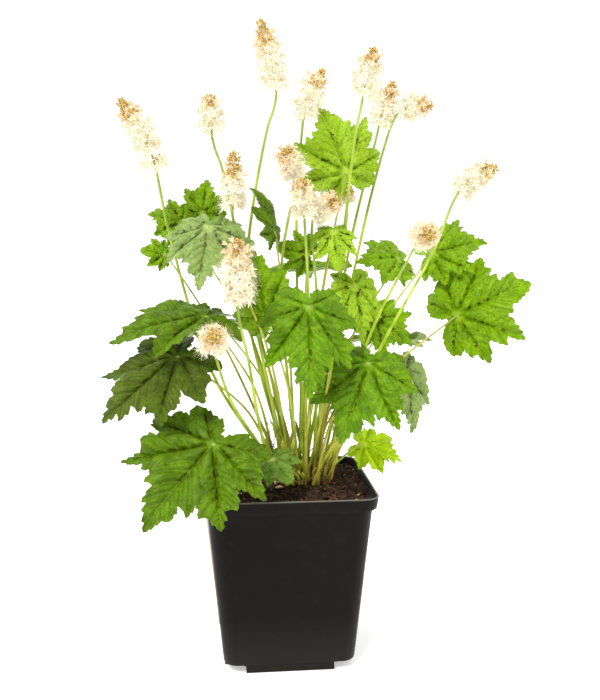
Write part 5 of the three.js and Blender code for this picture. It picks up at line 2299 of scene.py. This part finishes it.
    def build_fibres(self, finish: bpy.types.Material) -> bpy.types.Object:
        """Builds the loose reddish fibres that lie on the compost.

        Args:
            finish: The fibres' material.

        Returns:
            The fibres.
        """
        random = np.random.default_rng(self.seed + 2)
        piece = Piece("coir_fibres", "soil", [finish])
        for place in self.spots(random, self.fibres, 48.0):
            length = random.uniform(5, 13)
            turn = random.uniform(0, 2 * math.pi)
            ahead = np.array([math.cos(turn), math.sin(turn), 0]) * length / 2
            bow = np.array([-ahead[1], ahead[0], 0]) * random.uniform(-0.5, 0.5)
            bends = ((-1, 0), (-0.3, 1), (0.4, 0.6), (1, 0))
            knots = np.array([place + ahead * along + bow * aside for along, aside in bends])
            knots[:, :2] = np.clip(knots[:, :2], -50.5, 50.5)
            knots[:, 2] = self.surface(knots[:, 0], knots[:, 1]) + random.uniform(0.1, 0.9, 4)
            shares = np.linspace(0, 1, 9)
            radii = random.uniform(0.14, 0.32) * (1 - 0.4 * shares)
            piece.add(Path.through(knots).tube(shares, radii, 5), shade=random.uniform())
        return piece.place()


@dataclass
class CrownTuft:
    """What stands between the living stalks: furled leaves, brown sheaths and old broken stalks."""

    seed: int = 21
    furled: int = 44
    sheaths: int = 40
    old: int = 44

    def seat(self, random: np.random.Generator, low: float, high: float) -> tuple[np.ndarray, np.ndarray]:
        """Draws a place in the crown.

        Args:
            random: The draws.
            low: The nearest that it may be to the middle.
            high: The furthest.

        Returns:
            The place on the soil, and the level way out from the middle.
        """
        turn = random.uniform(0, 2 * math.pi)
        out = np.array([math.cos(turn), math.sin(turn) * CROWN.squash, 0])
        place = np.array([CROWN.x, CROWN.y, 0]) + out * random.uniform(low, high)
        place[2] = float(CROWN.soil_height(place[0], place[1]))
        return place, out

    def build_furled_leaves(self, finish: bpy.types.Material) -> bpy.types.Object:
        """Builds the young leaves that are still folded into a point on their short stalks.

        Args:
            finish: The stalks' material.

        Returns:
            The furled leaves.
        """
        random = np.random.default_rng(self.seed)
        piece = Piece("furled_leaves", "stem", [finish] * 3)
        for _ in range(self.furled):
            mouth, out = self.seat(random, 3, 19)
            height = (16 + 74 * random.uniform() ** 1.6) * (1.0 if out[0] > 0 else 0.6)
            lean = out * random.uniform(0.1, 0.8) + random.normal(0, 0.15, 3) * [1, 1, 0]
            top = mouth + (UP + lean) * height
            bow = random.normal(0, 0.05, 3) * [1, 1, 0] * height
            path = Path.through([mouth - 5 * UP, mouth, (mouth + top) / 2 + bow - lean * height * 0.08, top])
            shares = np.array([0, 0.1, 0.25, 0.4, 0.55, 0.68, 0.76, 0.84, 0.91, 0.96, 1.0])
            fat = random.uniform(0.8, 1.5)
            radii = np.array([1.3, 1.1, 0.8, 0.7, 0.65, 0.75, 1.0 * fat, 1.2 * fat, 0.95 * fat, 0.55, 0.12])
            rise = np.append(np.repeat(0.1 + 0.6 * shares, 7), [0, 0.7])
            piece.add(path.tube(shares, radii, 7), STALK, rise=rise, warm=random.uniform(0, 0.7) ** 1.5)
            add_down(piece, path, 0.2, radii, 1.2, (0.9, 0.06), int(random.integers(1000)))
        return piece.place()

    def build_sheaths(self, finish: bpy.types.Material) -> bpy.types.Object:
        """Builds the papery brown sheaths round the stalks' feet.

        Args:
            finish: The sheaths' material.

        Returns:
            The sheaths.
        """
        random = np.random.default_rng(self.seed + 1)
        piece = Piece("stalk_sheaths", "stem", [finish])
        for _ in range(self.sheaths):
            mouth, out = self.seat(random, 2, 21)
            height = random.uniform(4, 12)
            lean = out * random.uniform(0.2, 0.9) + random.normal(0, 0.3, 3) * [1, 1, 0]
            bent, top = (UP + lean * 0.5) * height * 0.6, (UP + lean) * height
            knots = [mouth - UP * 3, mouth, mouth + bent, mouth + top]
            shares = np.linspace(0, 1, 8)
            radii = np.array([1.5, 1.4, 1.4, 1.25, 1.05, 0.8, 0.5, 0.15]) * random.uniform(0.6, 1.1)
            piece.add(Path.through(knots).tube(shares, radii, 6), shade=random.uniform())
        return piece.place()

    def build_old_stalks(self, finish: bpy.types.Material) -> bpy.types.Object:
        """Builds the thin dry stalks left from last year, which lean out between the green ones.

        Args:
            finish: The dry stalks' material.

        Returns:
            The old stalks.
        """
        random = np.random.default_rng(self.seed + 2)
        piece = Piece("old_stalks", "stem", [finish])
        for k in range(self.old):
            start, out = self.seat(random, 5, 19)
            thin = k % 2
            length = random.uniform(22, 56) if thin else random.uniform(8, 20)
            way = unit(out * random.uniform(0.2, 0.9) + random.normal(0, 0.3, 3) * [1, 1, 0] + UP)
            bow = unit(np.cross(way, UP)) * random.uniform(-0.3, 0.3) * length
            hook = random.normal(0, 0.16, 3) * length
            knots = [start - way * 3, start + way * length * 0.3, start + way * length * 0.65 + bow]
            knots.append(start + way * length + bow * 0.4 + hook)
            shares = np.linspace(0, 1, 16)
            radii = (random.uniform(0.22, 0.4) if thin else random.uniform(0.4, 0.8)) * (1 - 0.35 * shares)
            shade = random.uniform(0, 0.35 if thin else 1.0)
            piece.add(Path.through(knots).tube(shares, radii, 6), shade=shade)
        return piece.place()


@dataclass
class Studio:
    """A plain pale floor in a white tent that is dimmer at its front, with two softened suns.

    The stronger sun stands to the front left, and the weaker one to the right.
    """

    lens: float = 48.34
    away: float = 0.605
    round_deg: float = 4.7
    height: float = 0.282
    down_deg: float = 7.7
    turn_deg: float = -5.65
    surround: float = 1.15
    front_surround: float = 0.5
    sun_strength: float = 3.3
    sun_angle_deg: float = 30.0
    sun_way: Point = (0.5, 0.6, -1.0)
    side_strength: float = 1.0
    side_angle_deg: float = 35.0
    side_way: Point = (-1.0, 0.22, -0.12)
    floor_glow: float = 0.42
    floor_half: float = 12.0
    floor_z: float = -0.0002
    nearest_seen: float = 0.01

    def build_camera(self) -> None:
        """Stands the camera where the photograph was taken from."""
        camera = bpy.data.cameras.new("camera")
        camera.lens = self.lens
        camera.clip_start = self.nearest_seen
        thing = put("camera", camera)
        turned = math.radians(self.round_deg)
        thing.location = (-self.away * math.sin(turned), -self.away * math.cos(turned), self.height)
        thing.rotation_euler = (math.radians(90 - self.down_deg), 0, math.radians(self.turn_deg))
        bpy.context.scene.camera = thing

    def build_floor(self) -> None:
        """Lays a large pale floor of matt board."""
        mesh = bpy.data.meshes.new("floor")
        shape = bmesh.new()
        bmesh.ops.create_grid(shape, x_segments=2, y_segments=2, size=self.floor_half)
        shape.to_mesh(mesh)
        shape.free()
        glow = {"Emission Color": (1, 1, 1, 1), "Emission Strength": self.floor_glow}
        board = Shader("matt_board").end((0.88, 0.88, 0.88, 1), 0.9, {"Specular IOR Level": 0.1, **glow})
        mesh.materials.append(board)
        floor = put("floor", mesh)
        floor.location.z = self.floor_z

    def build_light(self) -> None:
        """Lights the scene: a white tent that is dimmer at its open front, and two softened suns."""
        world = bpy.data.worlds.new("surround")
        world.use_nodes = True
        tree = world.node_tree
        background = tree.nodes["Background"]
        background.inputs["Color"].default_value = (1, 1, 1, 1)
        way = add_node(tree, "ShaderNodeTexCoord").outputs["Generated"]
        ahead = add_node(tree, "ShaderNodeSeparateXYZ", {0: way}).outputs["Y"]
        levels = {0: ahead, 1: -0.75, 2: 0.0, 3: self.front_surround, 4: self.surround}
        strength = add_node(tree, "ShaderNodeMapRange", levels, interpolation_type="SMOOTHSTEP")
        seen = add_node(tree, "ShaderNodeLightPath").outputs["Is Camera Ray"]
        strength = add_node(tree, "ShaderNodeMath", {0: strength, 1: seen}, operation="MAXIMUM")
        tree.links.new(strength.outputs[0], background.inputs["Strength"])
        bpy.context.scene.world = world
        self.add_sun("window_light", self.sun_strength, self.sun_angle_deg, self.sun_way)
        self.add_sun("side_light", self.side_strength, self.side_angle_deg, self.side_way)

    @staticmethod
    def add_sun(name: str, strength: float, angle_deg: float, way: Point) -> None:
        """Adds a softened sun that shines along a way."""
        sun = bpy.data.lights.new(name, "SUN")
        sun.energy = strength
        sun.angle = math.radians(angle_deg)
        put(name, sun).rotation_euler = Vector(way).to_track_quat("-Z", "Y").to_euler()

    def build(self) -> None:
        """Builds the whole stage and sets plain colour handling."""
        self.build_camera()
        self.build_floor()
        self.build_light()
        bpy.context.scene.view_settings.view_transform = "Standard"
        bpy.context.scene.view_settings.look = "None"


def main() -> None:
    """Builds the stage, then the pot, the soil and the plant, in order."""
    logging.basicConfig(level=logging.INFO, format="%(name)s: %(message)s")
    Studio().build()
    pot = NurseryPot()
    pot.build(MouldedPolypropylene().material())
    PotLabel(pot).build(LabelPaper().material())
    soil = PottingSoil(pot)
    soil.build_fill(GrowingMedium().material())
    soil.build_chips(DryMatter("bark", "#0f0804", "#5c3b20", 1.6).material())
    soil.build_slivers(DryMatter("wood", "#6c4a2a", "#d8b88c", 1.4).material())
    soil.build_grains(DryMatter("perlite", "#a8a194", "#efece4", 0.8).material())
    soil.build_fibres(DryMatter("coir", "#2e1a0e", "#7a5230", 2.0).material())
    tuft = CrownTuft()
    stalk = FreshStalk().material()
    tuft.build_furled_leaves(stalk)
    tuft.build_sheaths(DryMatter("dry_sheath", "#3e2412", "#a07a40", 3.0).material())
    tuft.build_old_stalks(DryMatter("dry_stalk", "#4c2c18", "#b8985c", 5.0).material())
    tones = {tone: tone.finishes() for tone in LeafTone}
    for number, plan in enumerate(LEAVES, 1):
        FoamflowerLeaf(number, plan).build(tones, stalk)
    # The petals get a weak painted glow that lifts the shade inside the heads
    petal = FlowerTissue("petal", "#f0e6cc", "#f0d8b6", "#e8e0c0", "#dcb488", glow=0.05).material()
    anther = FlowerTissue("anther", "#ecdcb8", "#c89c58", "#e0d0a8", "#8c6430").material()
    # The buds' olive foot is their calyx, and is also darker as painted shade in the gaps between the beads
    bud = FlowerTissue("bud", "#ecd48c", "#d2b25c", "#7a6c34", "#5a461e").material()
    for number, plan in enumerate(RACEMES, 1):
        FloweringStem(number, plan).build(stalk)
        FlowerHead(number, plan).build([petal, anther, stalk, bud])


if __name__ == "__main__":
    main()
